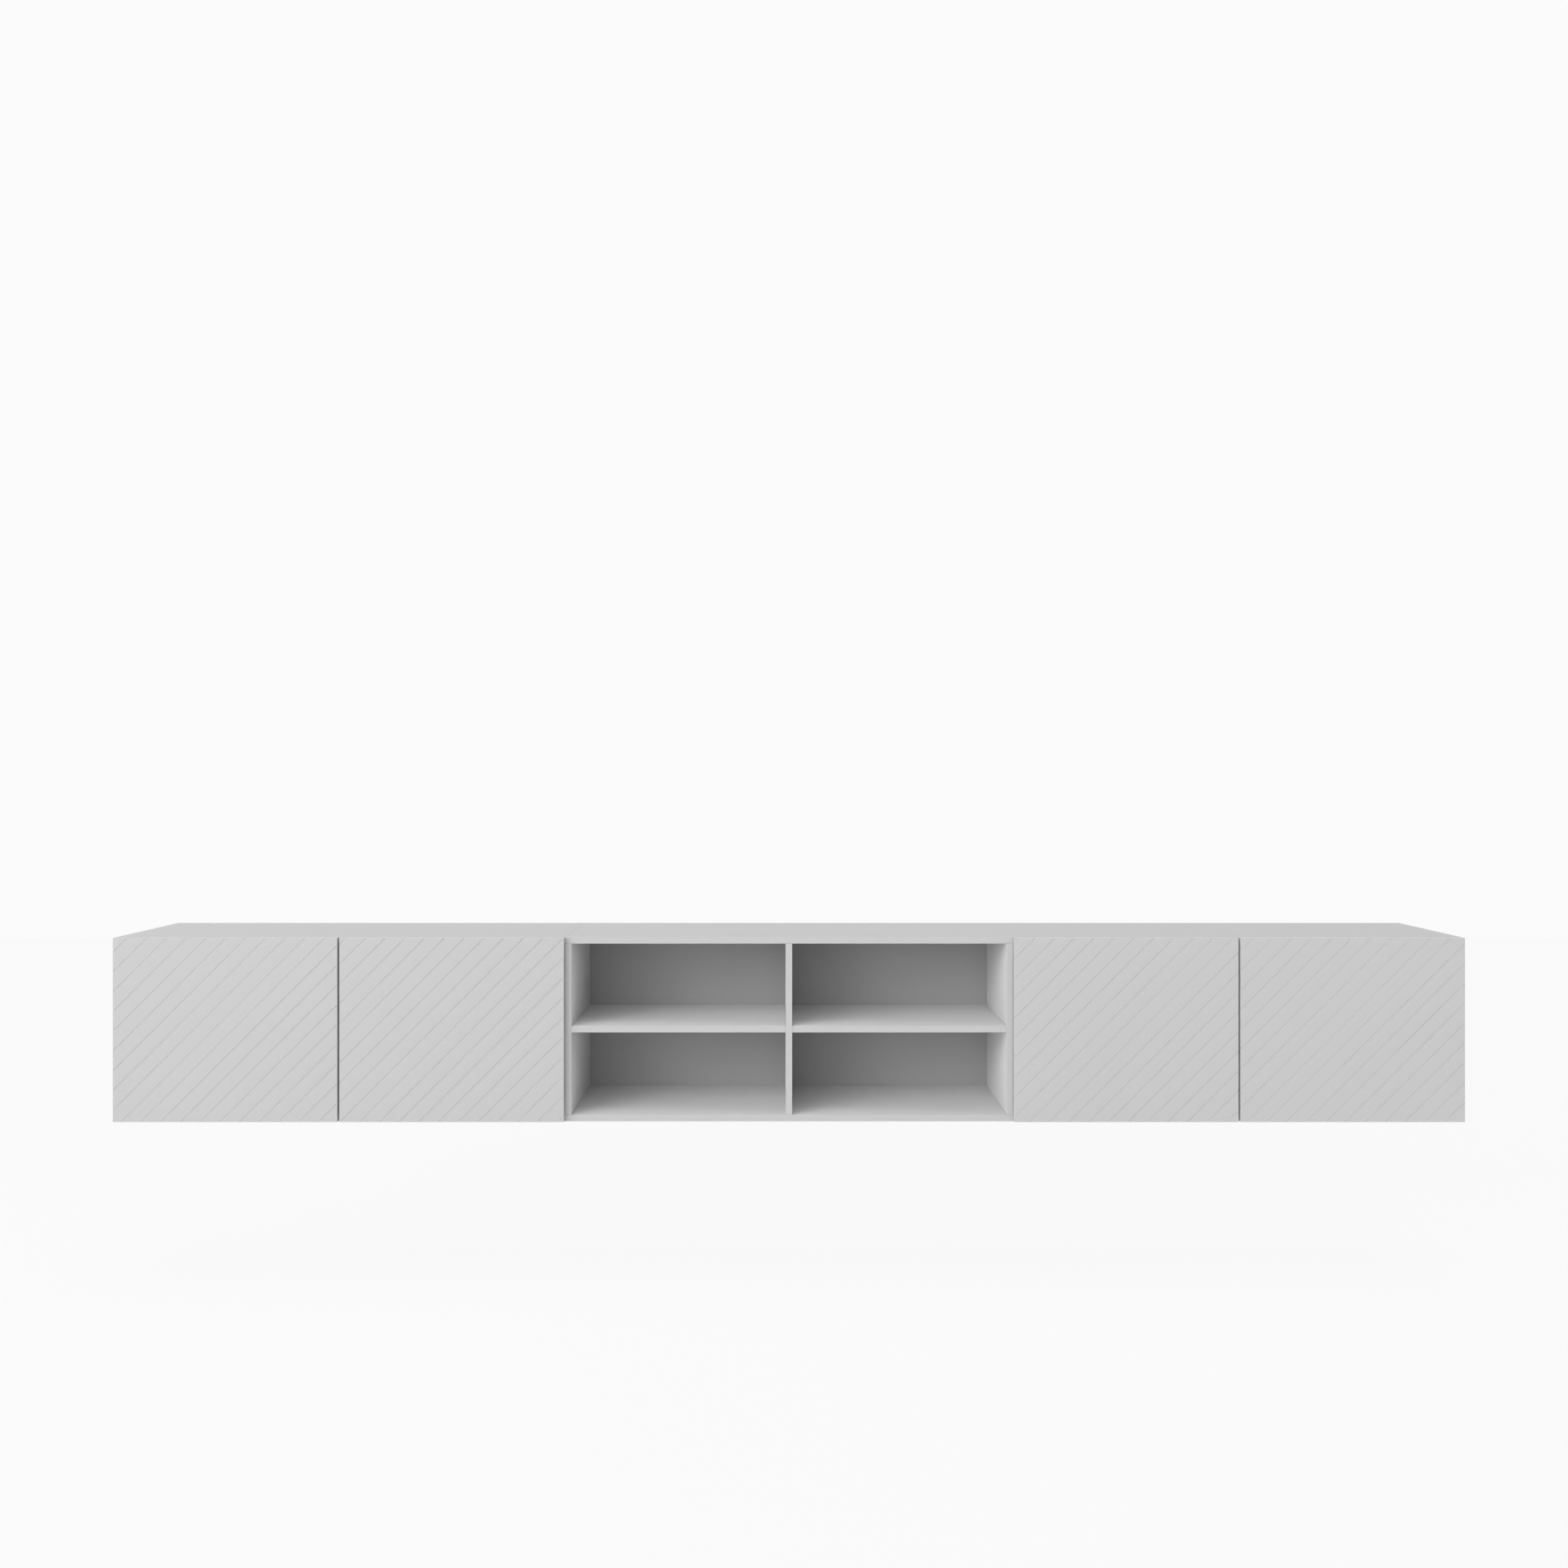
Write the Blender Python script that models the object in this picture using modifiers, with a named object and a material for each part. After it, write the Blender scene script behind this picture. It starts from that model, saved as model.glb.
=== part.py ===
"""Wall-hung TV cabinet: an open module between two modules with a pair of grooved push-to-open doors each.

Metres, +Z up. The wall is the plane y = 0 and the cabinet stands out from it towards -Y. The origin is the
middle of the wall rail's back face. For Blender 4.5: blender --background --python part.py, or run it in the
Text Editor.
"""

import math

import bmesh
import bpy
from mathutils import Matrix, Vector

# Carcass: boards that meet keep the touch gap. Top and bottom of a door module run past its sides by the side inset,
# and those of the middle module end flush with its sides
MODULE_WIDTH = 1.100
CARCASS_HEIGHT = 0.452
CARCASS_DEPTH = 0.381
BOARD = 0.016
TOUCH_GAP = 0.0003
SIDE_INSET = 0.001
TOP_ABOVE_RAIL = 0.085

# Back panels stand in grooves, ahead of the space for the hanging fittings
BACK_THICKNESS = 0.003
BACK_VOID = 0.014
BACK_GROOVE_DEPTH = 0.008
BACK_GROOVE_PLAY = 0.0003
BACK_EDGE_PLAY = 0.001

# Loose shelves of the door modules
INNER_SHELF_SETBACK = 0.030
INNER_SHELF_PLAY = 0.001
PIN_DIAMETER = 0.005
PIN_UNDER_SHELF = 0.008
PIN_FROM_SHELF_EDGE = 0.040

# Dowels, glued between the boards
DOWEL_DIAMETER = 0.008
DOWEL_LENGTH = 0.030
DOWEL_IN_FACE = 0.010
DOWEL_IN_DIVIDER = 0.0065
DOWEL_PLAY = 0.0003
DOWEL_FROM_FRONT = 0.060
DOWEL_FROM_BACK = 0.070

# Doors
DOOR_THICKNESS = 0.016
DOOR_GAP = 0.003
PAIR_GAP = 0.005
DOOR_TOP_REVEAL = 0.0004
DOOR_BOTTOM_REVEAL = 0.0024

# V-grooves at 45 degrees, rising to the right: pitch and first crossing along the top edge of each door
GROOVE_WIDTH = 0.0032
GROOVE_DEPTH = 0.0010
GROOVE_PITCH = 0.0482
DOOR_1_FIRST_GROOVE = 0.0359
DOOR_2_FIRST_GROOVE = 0.0172
DOOR_3_FIRST_GROOVE = 0.0039
DOOR_4_FIRST_GROOVE = 0.0307

# Cup hinges: places are measured from the door's hinge edge, and from its back face
CUP_DIAMETER = 0.035
CUP_DEPTH = 0.0125
CUP_WALL = 0.0008
CUP_RIM = 0.001
CUP_FROM_EDGE = 0.003
CUP_PLAY = 0.0003
CUP_WING_LENGTH = 0.052
CUP_WING_WIDTH = 0.018
CUP_SCREW_SPACING = 0.042
CUP_EAR_THICKNESS = 0.002
CUP_EAR_WALL = 0.0011
HINGE_FROM_END = 0.080
HINGE_PIN_FROM_EDGE = 0.0074
HINGE_PIN_DEPTH = 0.009
HINGE_PIN_DIAMETER = 0.002
HINGE_PIN_PLAY = 0.0003
KNUCKLE_DIAMETER = 0.0044
ARM_WIDTH = 0.010
ARM_THICKNESS = 0.0016
ARM_CLEARANCE = 0.0013
ARM_SIDE_PLAY = 0.0004
ARM_BEND_RADIUS = 0.003
ARM_STRAIGHT_INSIDE = 0.005
ARM_SLOPE_LENGTH = 0.009
ARM_SEAT_LENGTH = 0.038
ARM_CHANNEL_LEG = 0.0035
PLATE_THICKNESS = 0.002
PLATE_LENGTH = 0.046
PLATE_WIDTH = 0.016
PLATE_FROM_FRONT = 0.037
PLATE_RIDGE_HEIGHT = 0.0045
PLATE_RIDGE_WIDTH = 0.008
PLATE_RIDGE_LENGTH = 0.042
PLATE_SCREW_SPACING = 0.032

# Push latches, under the top panels
LATCH_FROM_FREE_EDGE = 0.040
LATCH_LENGTH = 0.070
LATCH_WIDTH = 0.016
LATCH_HEIGHT = 0.014
LATCH_FRONT_SETBACK = 0.002
LATCH_WALL = 0.0025
LATCH_TAB_WIDTH = 0.036
LATCH_TAB_LENGTH = 0.018
LATCH_TAB_THICKNESS = 0.0025
PLUNGER_PLAY = 0.0004
PLUNGER_LENGTH = 0.062
PLUNGER_TIP_CHAMFER = 0.0008
STRIKE_DIAMETER = 0.016
STRIKE_THICKNESS = 0.001

# One wall rail behind all three modules, and a hanging rail in each module that hooks over it
RAIL_THICKNESS = 0.002
RAIL_HEIGHT = 0.040
RAIL_STAND_OFF = 0.0065
RAIL_LIP = 0.011
RAIL_FROM_SIDE = 0.012
RAIL_BEND_RADIUS = 0.0015
RAIL_HOLE_DIAMETER = 0.007
RAIL_HOLE_FROM_END = 0.060
RAIL_HOLES = 10
NOTCH_PLAY = 0.001
HANGER_THICKNESS = 0.0018
HANGER_PLAY = 0.0004
HANGER_FRONT_HEIGHT = 0.026
HANGER_FLANGE_HEIGHT = 0.032
HANGER_FLANGE_REACH = 0.012
HANGER_SCREW_SPACING = 0.016

# Chipboard screws with flat round heads; each is one piece with the fitting that it holds
SCREW_DIAMETER = 0.0035
SCREW_HEAD_DIAMETER = 0.0068
SCREW_HEAD_HEIGHT = 0.0012
SCREW_DEPTH = 0.011
SCREW_HOLE_PLAY = 0.0003

# Faceting, in sides of a full round, and the angle from which an edge is sharp
ROUND_SIDES = 20
MIDDLE_SIDES = 12
SMALL_SIDES = 8
SCREW_SIDES = 6
SHARP_ANGLE = math.radians(40.0)

# The length that every cutter runs past what it cuts, and the depth by which joined shapes overlap
CUT_OVERRUN = 0.002
JOIN_OVERLAP = 0.0003

# Places worked out from the sizes above
CARCASS_FRONT = -CARCASS_DEPTH
DOOR_BACK = CARCASS_FRONT - DOOR_GAP
DOOR_FRONT = DOOR_BACK - DOOR_THICKNESS
TOP = TOP_ABOVE_RAIL
BOTTOM = TOP - CARCASS_HEIGHT
CEILING = TOP - BOARD
FLOOR = BOTTOM + BOARD
BACK_REAR = -BACK_VOID
BACK_FACE = BACK_REAR - BACK_THICKNESS
MIDDLE_HEIGHT = (CEILING + FLOOR) / 2
DOOR_TOP = TOP - DOOR_TOP_REVEAL
DOOR_BOTTOM = BOTTOM + DOOR_BOTTOM_REVEAL
DOOR_WIDTH = (MODULE_WIDTH - PAIR_GAP) / 2
HINGE_PIN_Y = DOOR_BACK - HINGE_PIN_DEPTH
CUP_CENTRE = CUP_FROM_EDGE + CUP_DIAMETER / 2
LATCH_Z = CEILING - TOUCH_GAP - LATCH_HEIGHT / 2
LATCH_FRONT = CARCASS_FRONT + LATCH_FRONT_SETBACK
PLUNGER_TIP = DOOR_BACK + STRIKE_THICKNESS + TOUCH_GAP
PLUNGER_RADIUS = LATCH_HEIGHT / 2 - LATCH_WALL - PLUNGER_PLAY


def clear_scene():
    for old in list(bpy.data.objects):
        bpy.data.objects.remove(old, do_unlink=True)


def new_collection(name):
    collection = bpy.data.collections.new(name)
    bpy.context.scene.collection.children.link(collection)
    return collection


def finish(name, colour, roughness, metallic):
    """A plain material with the piece's colour, roughness and metallic value."""
    material = bpy.data.materials.new(name)
    material.use_nodes = True
    shader = material.node_tree.nodes["Principled BSDF"]
    shader.inputs["Base Color"].default_value = (*colour, 1.0)
    shader.inputs["Roughness"].default_value = roughness
    shader.inputs["Metallic"].default_value = metallic
    material.diffuse_color = (*colour, 1.0)
    return material


clear_scene()
PARTS = new_collection("floating_tv_cabinet")
CUTTERS = new_collection("cutters")
BOARD_FINISH = finish("grey_melamine_board", (0.60, 0.60, 0.60), 0.55, 0.0)
DOOR_FINISH = finish("grey_lacquered_mdf", (0.60, 0.60, 0.60), 0.50, 0.0)
HARDBOARD_FINISH = finish("grey_faced_hardboard", (0.55, 0.55, 0.55), 0.60, 0.0)
NICKEL_FINISH = finish("nickel_plated_steel", (0.62, 0.61, 0.58), 0.30, 1.0)
ZINC_FINISH = finish("zinc_plated_steel", (0.55, 0.56, 0.58), 0.40, 1.0)
PLASTIC_FINISH = finish("grey_moulded_plastic", (0.35, 0.35, 0.36), 0.45, 0.0)


def box(mesh, low, high):
    """A cuboid between two opposite corners."""
    low = Vector(low)
    high = Vector(high)
    place = Matrix.Translation((low + high) / 2) @ Matrix.Diagonal((*(high - low), 1.0))
    bmesh.ops.create_cube(mesh, size=1.0, matrix=place)


def rod(mesh, start, end, diameter, sides):
    """A cylinder between the middles of its two ends."""
    start = Vector(start)
    end = Vector(end)
    turn = (end - start).to_track_quat("Z", "Y").to_matrix().to_4x4()
    bmesh.ops.create_cone(
        mesh,
        cap_ends=True,
        segments=sides,
        radius1=diameter / 2,
        radius2=diameter / 2,
        depth=(end - start).length,
        matrix=Matrix.Translation((start + end) / 2) @ turn,
    )


def new_object(name, mesh, material, collection, origin=(0.0, 0.0, 0.0), parent=None):
    """An object whose mesh stays where it is in the world, with its origin at the given point."""
    data = bpy.data.meshes.new(name)
    mesh.to_mesh(data)
    mesh.free()
    data.transform(Matrix.Translation(-Vector(origin)))
    obj = bpy.data.objects.new(name, data)
    collection.objects.link(obj)
    obj.location = Vector(origin)
    if parent:
        obj.parent = parent
        obj.location = Vector(origin) - parent.location
    if material:
        data.materials.append(material)
    return obj


def combine(obj, name, operation, mesh):
    """Cuts the closed shapes of a mesh out of an object, or joins them to it."""
    if not mesh.verts:
        mesh.free()
        return None
    tool = new_object(obj.name + "_" + name, mesh, None, CUTTERS)
    tool.hide_render = True
    tool.display_type = "WIRE"
    change = obj.modifiers.new(name, "BOOLEAN")
    change.operation = operation
    change.object = tool
    return tool


def baked(obj, tools):
    """An object's mesh with its modifiers applied; the object and the tools that shaped it are removed."""
    bpy.context.view_layer.update()
    evaluated = obj.evaluated_get(bpy.context.evaluated_depsgraph_get())
    data = bpy.data.meshes.new_from_object(evaluated)
    for used in (obj, *tools):
        bpy.data.objects.remove(used, do_unlink=True)
    return data


def placed(name, prototype, place, material, origin=(0.0, 0.0, 0.0), parent=None):
    """A copy of a prototype at its place, with its faces turned out again where the place mirrors it."""
    copy = prototype.copy()
    copy.transform(place)
    if place.determinant() < 0.0:
        copy.flip_normals()
    mesh = bmesh.new()
    mesh.from_mesh(copy)
    bpy.data.meshes.remove(copy)
    obj = new_object(name, mesh, material, PARTS, origin, parent)
    obj.data.shade_smooth()
    obj.data.set_sharp_from_angle(angle=SHARP_ANGLE)
    return obj


def bent_strip(name, path, across, width, thickness, bend_radius):
    """Sheet metal along a path: an open surface, rounded at its folds and then given its thickness."""
    mesh = bmesh.new()
    half = Vector(across) * (width / 2)
    rows = []
    for point in path:
        rows.append((mesh.verts.new(Vector(point) - half), mesh.verts.new(Vector(point) + half)))
    for (near, far), (next_near, next_far) in zip(rows, rows[1:]):
        mesh.faces.new((near, far, next_far, next_near))
    obj = new_object(name, mesh, None, PARTS)
    fold = obj.modifiers.new("rounded_folds", "BEVEL")
    fold.width = bend_radius
    fold.segments = 2
    fold.limit_method = "ANGLE"
    fold.angle_limit = SHARP_ANGLE / 2
    sheet = obj.modifiers.new("sheet", "SOLIDIFY")
    sheet.thickness = thickness
    sheet.offset = 0.0
    sheet.use_even_offset = True
    return obj


# The modules, from left to right, and the names of the door modules' sides
MODULE_LEFT_EDGES = {
    "left": -3 * MODULE_WIDTH / 2,
    "middle": -MODULE_WIDTH / 2,
    "right": MODULE_WIDTH / 2,
}
DOOR_MODULES = ("left", "right")
DIVIDER_X = MODULE_LEFT_EDGES["middle"] + MODULE_WIDTH / 2
HINGE_HEIGHTS = {"upper": DOOR_TOP - HINGE_FROM_END, "lower": DOOR_BOTTOM + HINGE_FROM_END}


def side_faces(module, end):
    """A side panel's outer face, its inner face, and the direction from the first to the second."""
    left = MODULE_LEFT_EDGES[module]
    inset = TOUCH_GAP / 2
    if module in DOOR_MODULES:
        inset += SIDE_INSET
    if end == "left":
        outer = left + inset
        return outer, outer + BOARD, 1.0
    outer = left + MODULE_WIDTH - inset
    return outer, outer - BOARD, -1.0


def dowel_plan():
    """Each dowel: its tip in one board's face, its root in the edge of its own board, and its way."""
    plan = []
    for y in (CARCASS_FRONT + DOWEL_FROM_FRONT, -DOWEL_FROM_BACK):
        uprights = [DIVIDER_X]
        for module in MODULE_LEFT_EDGES:
            for end in ("left", "right"):
                outer, inner, _ = side_faces(module, end)
                uprights.append((outer + inner) / 2)
        for x in uprights:
            plan.append((Vector((x, y, CEILING + DOWEL_IN_FACE)), Vector((0, 0, -1))))
            plan.append((Vector((x, y, FLOOR - DOWEL_IN_FACE)), Vector((0, 0, 1))))
        for end in ("left", "right"):
            _, wall, inward = side_faces("middle", end)
            divider_face = DIVIDER_X - inward * BOARD / 2
            in_wall = Vector((wall - inward * DOWEL_IN_FACE, y, MIDDLE_HEIGHT))
            in_divider = Vector((divider_face + inward * DOWEL_IN_DIVIDER, y, MIDDLE_HEIGHT))
            plan.append((in_wall, Vector((inward, 0, 0))))
            plan.append((in_divider, Vector((-inward, 0, 0))))
    return [(tip, tip + along * DOWEL_LENGTH, along) for tip, along in plan]


def is_inside(point, low, high):
    return all(least < value < most for value, least, most in zip(point, low, high))


def board(name, low, high, extra_cuts=None, extra_joins=None):
    """A flat board between two corners, with its own dowels and holes for those of its neighbours."""
    mesh = bmesh.new()
    box(mesh, low, high)
    obj = new_object(name, mesh, BOARD_FINISH, PARTS, (Vector(low) + Vector(high)) / 2)
    cuts = extra_cuts or bmesh.new()
    joins = extra_joins or bmesh.new()
    for tip, root, along in dowel_plan():
        if is_inside(tip, low, high):
            play = along * DOWEL_PLAY
            rod(cuts, tip - play, root, DOWEL_DIAMETER + 2 * DOWEL_PLAY, SMALL_SIDES)
        elif is_inside(root, low, high):
            rod(joins, tip, root, DOWEL_DIAMETER, SMALL_SIDES)
    combine(obj, "cuts", "DIFFERENCE", cuts)
    combine(obj, "dowels_and_pins", "UNION", joins)
    return obj


def screw_hole(mesh, face_point, into):
    """A hole in a board for a screw that enters it at a point on its face."""
    start = Vector(face_point) - into * CUT_OVERRUN
    end = Vector(face_point) + into * (SCREW_DEPTH + SCREW_HOLE_PLAY)
    rod(mesh, start, end, SCREW_DIAMETER + 2 * SCREW_HOLE_PLAY, SCREW_SIDES)


def screw(mesh, face_point, into, sheet):
    """A screw, to be joined to the sheet that it clamps, which lies the touch gap off the board's face."""
    face_point = Vector(face_point)
    outer_face = face_point - into * (TOUCH_GAP + sheet)
    middle_of_sheet = face_point - into * (TOUCH_GAP + sheet / 2)
    rod(mesh, middle_of_sheet, face_point + into * SCREW_DEPTH, SCREW_DIAMETER, SCREW_SIDES)
    head_bottom = outer_face + into * min(JOIN_OVERLAP, sheet / 4)
    rod(mesh, outer_face - into * SCREW_HEAD_HEIGHT, head_bottom, SCREW_HEAD_DIAMETER, SMALL_SIDES)


def plate_screw_points(wall):
    """Where the screws of the hinge plates enter a side panel's inner face."""
    y = CARCASS_FRONT + PLATE_FROM_FRONT
    offsets = (-PLATE_SCREW_SPACING / 2, PLATE_SCREW_SPACING / 2)
    return [Vector((wall, y, z + offset)) for z in HINGE_HEIGHTS.values() for offset in offsets]


def hanger_flange_levels():
    """The bottom and the top of the flanges that end the hanging rails."""
    bottom = RAIL_HEIGHT / 2 + RAIL_THICKNESS + RAIL_LIP + HANGER_PLAY
    return bottom, bottom + HANGER_FLANGE_HEIGHT


def hanger_screw_points(wall):
    """Where the screws of a hanging rail's flange enter a side panel's inner face."""
    bottom, top = hanger_flange_levels()
    y = -TOUCH_GAP - HANGER_FLANGE_REACH / 2
    offsets = (-HANGER_SCREW_SPACING / 2, HANGER_SCREW_SPACING / 2)
    return [Vector((wall, y, (bottom + top) / 2 + offset)) for offset in offsets]


def latch_screw_points(x):
    """Where the screws of a push latch enter the top panel."""
    y = LATCH_FRONT + LATCH_LENGTH / 2
    offset = (LATCH_WIDTH + LATCH_TAB_WIDTH) / 4
    return [Vector((x + side * offset, y, CEILING)) for side in (-1, 1)]


def side_panel(name, module, end):
    """A side: grooved for the back, notched for the wall rail unless it ends the row, with shelf pins."""
    outer, inner, inward = side_faces(module, end)
    low = (min(outer, inner), CARCASS_FRONT, FLOOR + TOUCH_GAP)
    high = (max(outer, inner), 0.0, CEILING - TOUCH_GAP)
    cuts = bmesh.new()
    groove_bottom = inner - inward * BACK_GROOVE_DEPTH
    groove_mouth = inner + inward * CUT_OVERRUN
    groove_low = (min(groove_bottom, groove_mouth), BACK_FACE - BACK_GROOVE_PLAY, low[2] - CUT_OVERRUN)
    groove_high = (max(groove_bottom, groove_mouth), BACK_REAR + BACK_GROOVE_PLAY, high[2] + CUT_OVERRUN)
    box(cuts, groove_low, groove_high)
    if module != end:
        notch_front = -RAIL_STAND_OFF - RAIL_THICKNESS - NOTCH_PLAY
        notch_bottom = -RAIL_HEIGHT / 2 - NOTCH_PLAY
        notch_top = RAIL_HEIGHT / 2 + RAIL_THICKNESS + RAIL_LIP + NOTCH_PLAY
        notch_low = (low[0] - CUT_OVERRUN, notch_front, notch_bottom)
        box(cuts, notch_low, (high[0] + CUT_OVERRUN, CUT_OVERRUN, notch_top))
    screw_points = hanger_screw_points(inner)
    pins = bmesh.new()
    if module in DOOR_MODULES:
        screw_points += plate_screw_points(inner)
        pin_z = MIDDLE_HEIGHT - BOARD / 2 - TOUCH_GAP - PIN_DIAMETER / 2
        shelf_front = CARCASS_FRONT + INNER_SHELF_SETBACK
        for y in (shelf_front + PIN_FROM_SHELF_EDGE, BACK_FACE - TOUCH_GAP - PIN_FROM_SHELF_EDGE):
            root = (inner - inward * BOARD / 2, y, pin_z)
            rod(pins, root, (inner + inward * PIN_UNDER_SHELF, y, pin_z), PIN_DIAMETER, SMALL_SIDES)
    for point in screw_points:
        screw_hole(cuts, point, Vector((-inward, 0, 0)))
    board(name, low, high, cuts, pins)


def flat_panel(module, level, latch_xs):
    """A top or bottom panel: it runs over the sides and carries the back panel's groove."""
    left = MODULE_LEFT_EDGES[module]
    bottom, face, outward = (CEILING, CEILING, 1.0) if level == "top" else (BOTTOM, FLOOR, -1.0)
    low = (left + TOUCH_GAP / 2, CARCASS_FRONT, bottom)
    high = (left + MODULE_WIDTH - TOUCH_GAP / 2, 0.0, bottom + BOARD)
    groove_mouth = face - outward * CUT_OVERRUN
    groove_bottom = face + outward * BACK_GROOVE_DEPTH
    groove_left = side_faces(module, "left")[1] - BACK_GROOVE_DEPTH
    groove_right = side_faces(module, "right")[1] + BACK_GROOVE_DEPTH
    cuts = bmesh.new()
    groove_low = (groove_left, BACK_FACE - BACK_GROOVE_PLAY, min(groove_mouth, groove_bottom))
    groove_high = (groove_right, BACK_REAR + BACK_GROOVE_PLAY, max(groove_mouth, groove_bottom))
    box(cuts, groove_low, groove_high)
    for x in latch_xs:
        for point in latch_screw_points(x):
            screw_hole(cuts, point, Vector((0, 0, 1)))
    board(module + "_" + level + "_panel", low, high, cuts)


def back_panel(module):
    reach = BACK_GROOVE_DEPTH - BACK_EDGE_PLAY
    low = Vector((side_faces(module, "left")[1] - reach, BACK_FACE, FLOOR - reach))
    high = Vector((side_faces(module, "right")[1] + reach, BACK_REAR, CEILING + reach))
    mesh = bmesh.new()
    box(mesh, low, high)
    new_object(module + "_back_panel", mesh, HARDBOARD_FINISH, PARTS, (low + high) / 2)


def middle_divider():
    low = (DIVIDER_X - BOARD / 2, CARCASS_FRONT, FLOOR + TOUCH_GAP)
    high = (DIVIDER_X + BOARD / 2, BACK_FACE - TOUCH_GAP, CEILING - TOUCH_GAP)
    board("middle_divider", low, high)


def niche_shelf(end):
    """A fixed shelf between a side of the middle module and its divider."""
    _, wall, inward = side_faces("middle", end)
    ends = (wall + inward * TOUCH_GAP, DIVIDER_X - inward * (BOARD / 2 + TOUCH_GAP))
    low = (min(ends), CARCASS_FRONT, MIDDLE_HEIGHT - BOARD / 2)
    high = (max(ends), BACK_FACE - TOUCH_GAP, MIDDLE_HEIGHT + BOARD / 2)
    board(end + "_niche_shelf", low, high)


def loose_shelf(module):
    """A shelf of a door module, lying on its four pins."""
    left = side_faces(module, "left")[1] + INNER_SHELF_PLAY
    right = side_faces(module, "right")[1] - INNER_SHELF_PLAY
    low = (left, CARCASS_FRONT + INNER_SHELF_SETBACK, MIDDLE_HEIGHT - BOARD / 2)
    high = (right, BACK_FACE - TOUCH_GAP, MIDDLE_HEIGHT + BOARD / 2)
    board(module + "_loose_shelf", low, high)


def wall_rail():
    """A folded steel rail: flat on the wall, with a lip above that stands off for the hanging rails."""
    left = side_faces("left", "left")[1] + RAIL_FROM_SIDE
    right = side_faces("right", "right")[1] - RAIL_FROM_SIDE
    middle = (left + right) / 2
    wall = -RAIL_THICKNESS / 2
    lip = wall - RAIL_STAND_OFF
    step = RAIL_HEIGHT / 2 + RAIL_THICKNESS / 2
    lip_top = RAIL_HEIGHT / 2 + RAIL_THICKNESS + RAIL_LIP
    on_wall = ((middle, wall, -RAIL_HEIGHT / 2), (middle, wall, step))
    path = (*on_wall, (middle, lip, step), (middle, lip, lip_top))
    rail = bent_strip("wall_rail", path, (1, 0, 0), right - left, RAIL_THICKNESS, RAIL_BEND_RADIUS)
    rail.data.materials.append(ZINC_FINISH)
    spacing = (right - left - 2 * RAIL_HOLE_FROM_END) / (RAIL_HOLES - 1)
    holes = bmesh.new()
    for index in range(RAIL_HOLES):
        x = left + RAIL_HOLE_FROM_END + index * spacing
        front = -RAIL_THICKNESS - CUT_OVERRUN
        rod(holes, (x, CUT_OVERRUN, 0), (x, front, 0), RAIL_HOLE_DIAMETER, SMALL_SIDES)
    combine(rail, "holes", "DIFFERENCE", holes)


def hanging_rail(module):
    """A folded rail that hooks over the wall rail's lip, with a flange at each end, screwed to a side."""
    left = side_faces(module, "left")[1] + TOUCH_GAP
    right = side_faces(module, "right")[1] - TOUCH_GAP
    middle = (left + right) / 2
    half_sheet = HANGER_THICKNESS / 2
    front = -RAIL_STAND_OFF - RAIL_THICKNESS - HANGER_PLAY - half_sheet
    rear = -RAIL_STAND_OFF + HANGER_PLAY + half_sheet
    over = RAIL_HEIGHT / 2 + RAIL_THICKNESS + RAIL_LIP + HANGER_PLAY + half_sheet
    tip = RAIL_HEIGHT / 2 + RAIL_THICKNESS + HANGER_PLAY
    front_edge = over - HANGER_FRONT_HEIGHT
    name = module + "_hanging_rail"
    path = ((middle, front, front_edge), (middle, front, over), (middle, rear, over), (middle, rear, tip))
    rail = bent_strip(name, path, (1, 0, 0), right - left, HANGER_THICKNESS, HANGER_THICKNESS)
    rail.data.materials.append(ZINC_FINISH)
    bottom, top = hanger_flange_levels()
    flanges = bmesh.new()
    screws = bmesh.new()
    for end in ("left", "right"):
        _, wall, inward = side_faces(module, end)
        faces = (wall + inward * TOUCH_GAP, wall + inward * (TOUCH_GAP + HANGER_THICKNESS))
        low = (min(faces), -TOUCH_GAP - HANGER_FLANGE_REACH, bottom)
        box(flanges, low, (max(faces), -TOUCH_GAP, top))
        for point in hanger_screw_points(wall):
            screw(screws, point, Vector((-inward, 0, 0)), HANGER_THICKNESS)
    combine(rail, "flanges", "UNION", flanges)
    combine(rail, "screws", "UNION", screws)


# Doors by number: the module, the x of the hinge edge, and the direction from there to the free edge
DOORS = {
    1: ("left", MODULE_LEFT_EDGES["left"], 1.0),
    2: ("left", MODULE_LEFT_EDGES["left"] + MODULE_WIDTH, -1.0),
    3: ("right", MODULE_LEFT_EDGES["right"], 1.0),
    4: ("right", MODULE_LEFT_EDGES["right"] + MODULE_WIDTH, -1.0),
}
FIRST_GROOVES = {1: DOOR_1_FIRST_GROOVE, 2: DOOR_2_FIRST_GROOVE, 3: DOOR_3_FIRST_GROOVE, 4: DOOR_4_FIRST_GROOVE}


def latch_x(number):
    _, edge, towards_free = DOORS[number]
    return edge + towards_free * (DOOR_WIDTH - LATCH_FROM_FREE_EDGE)


def hinge_place(number, height):
    """The hinge's own frame: origin on its pin, X to the door's free edge, Y into the cabinet, Z up."""
    _, edge, towards_free = DOORS[number]
    pin = Vector((edge + towards_free * HINGE_PIN_FROM_EDGE, HINGE_PIN_Y, height))
    return Matrix.Translation(pin) @ Matrix.Diagonal((towards_free, 1.0, 1.0, 1.0))


# In the hinge's frame: the middle of the cup's mouth in the door's back, and the side panel's inner face
CUP_MOUTH = Vector((CUP_CENTRE - HINGE_PIN_FROM_EDGE, HINGE_PIN_DEPTH, 0.0))
SIDE_FACE_FROM_PIN = TOUCH_GAP / 2 + SIDE_INSET + BOARD - HINGE_PIN_FROM_EDGE
CARCASS_FROM_PIN = HINGE_PIN_DEPTH + DOOR_GAP


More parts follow.
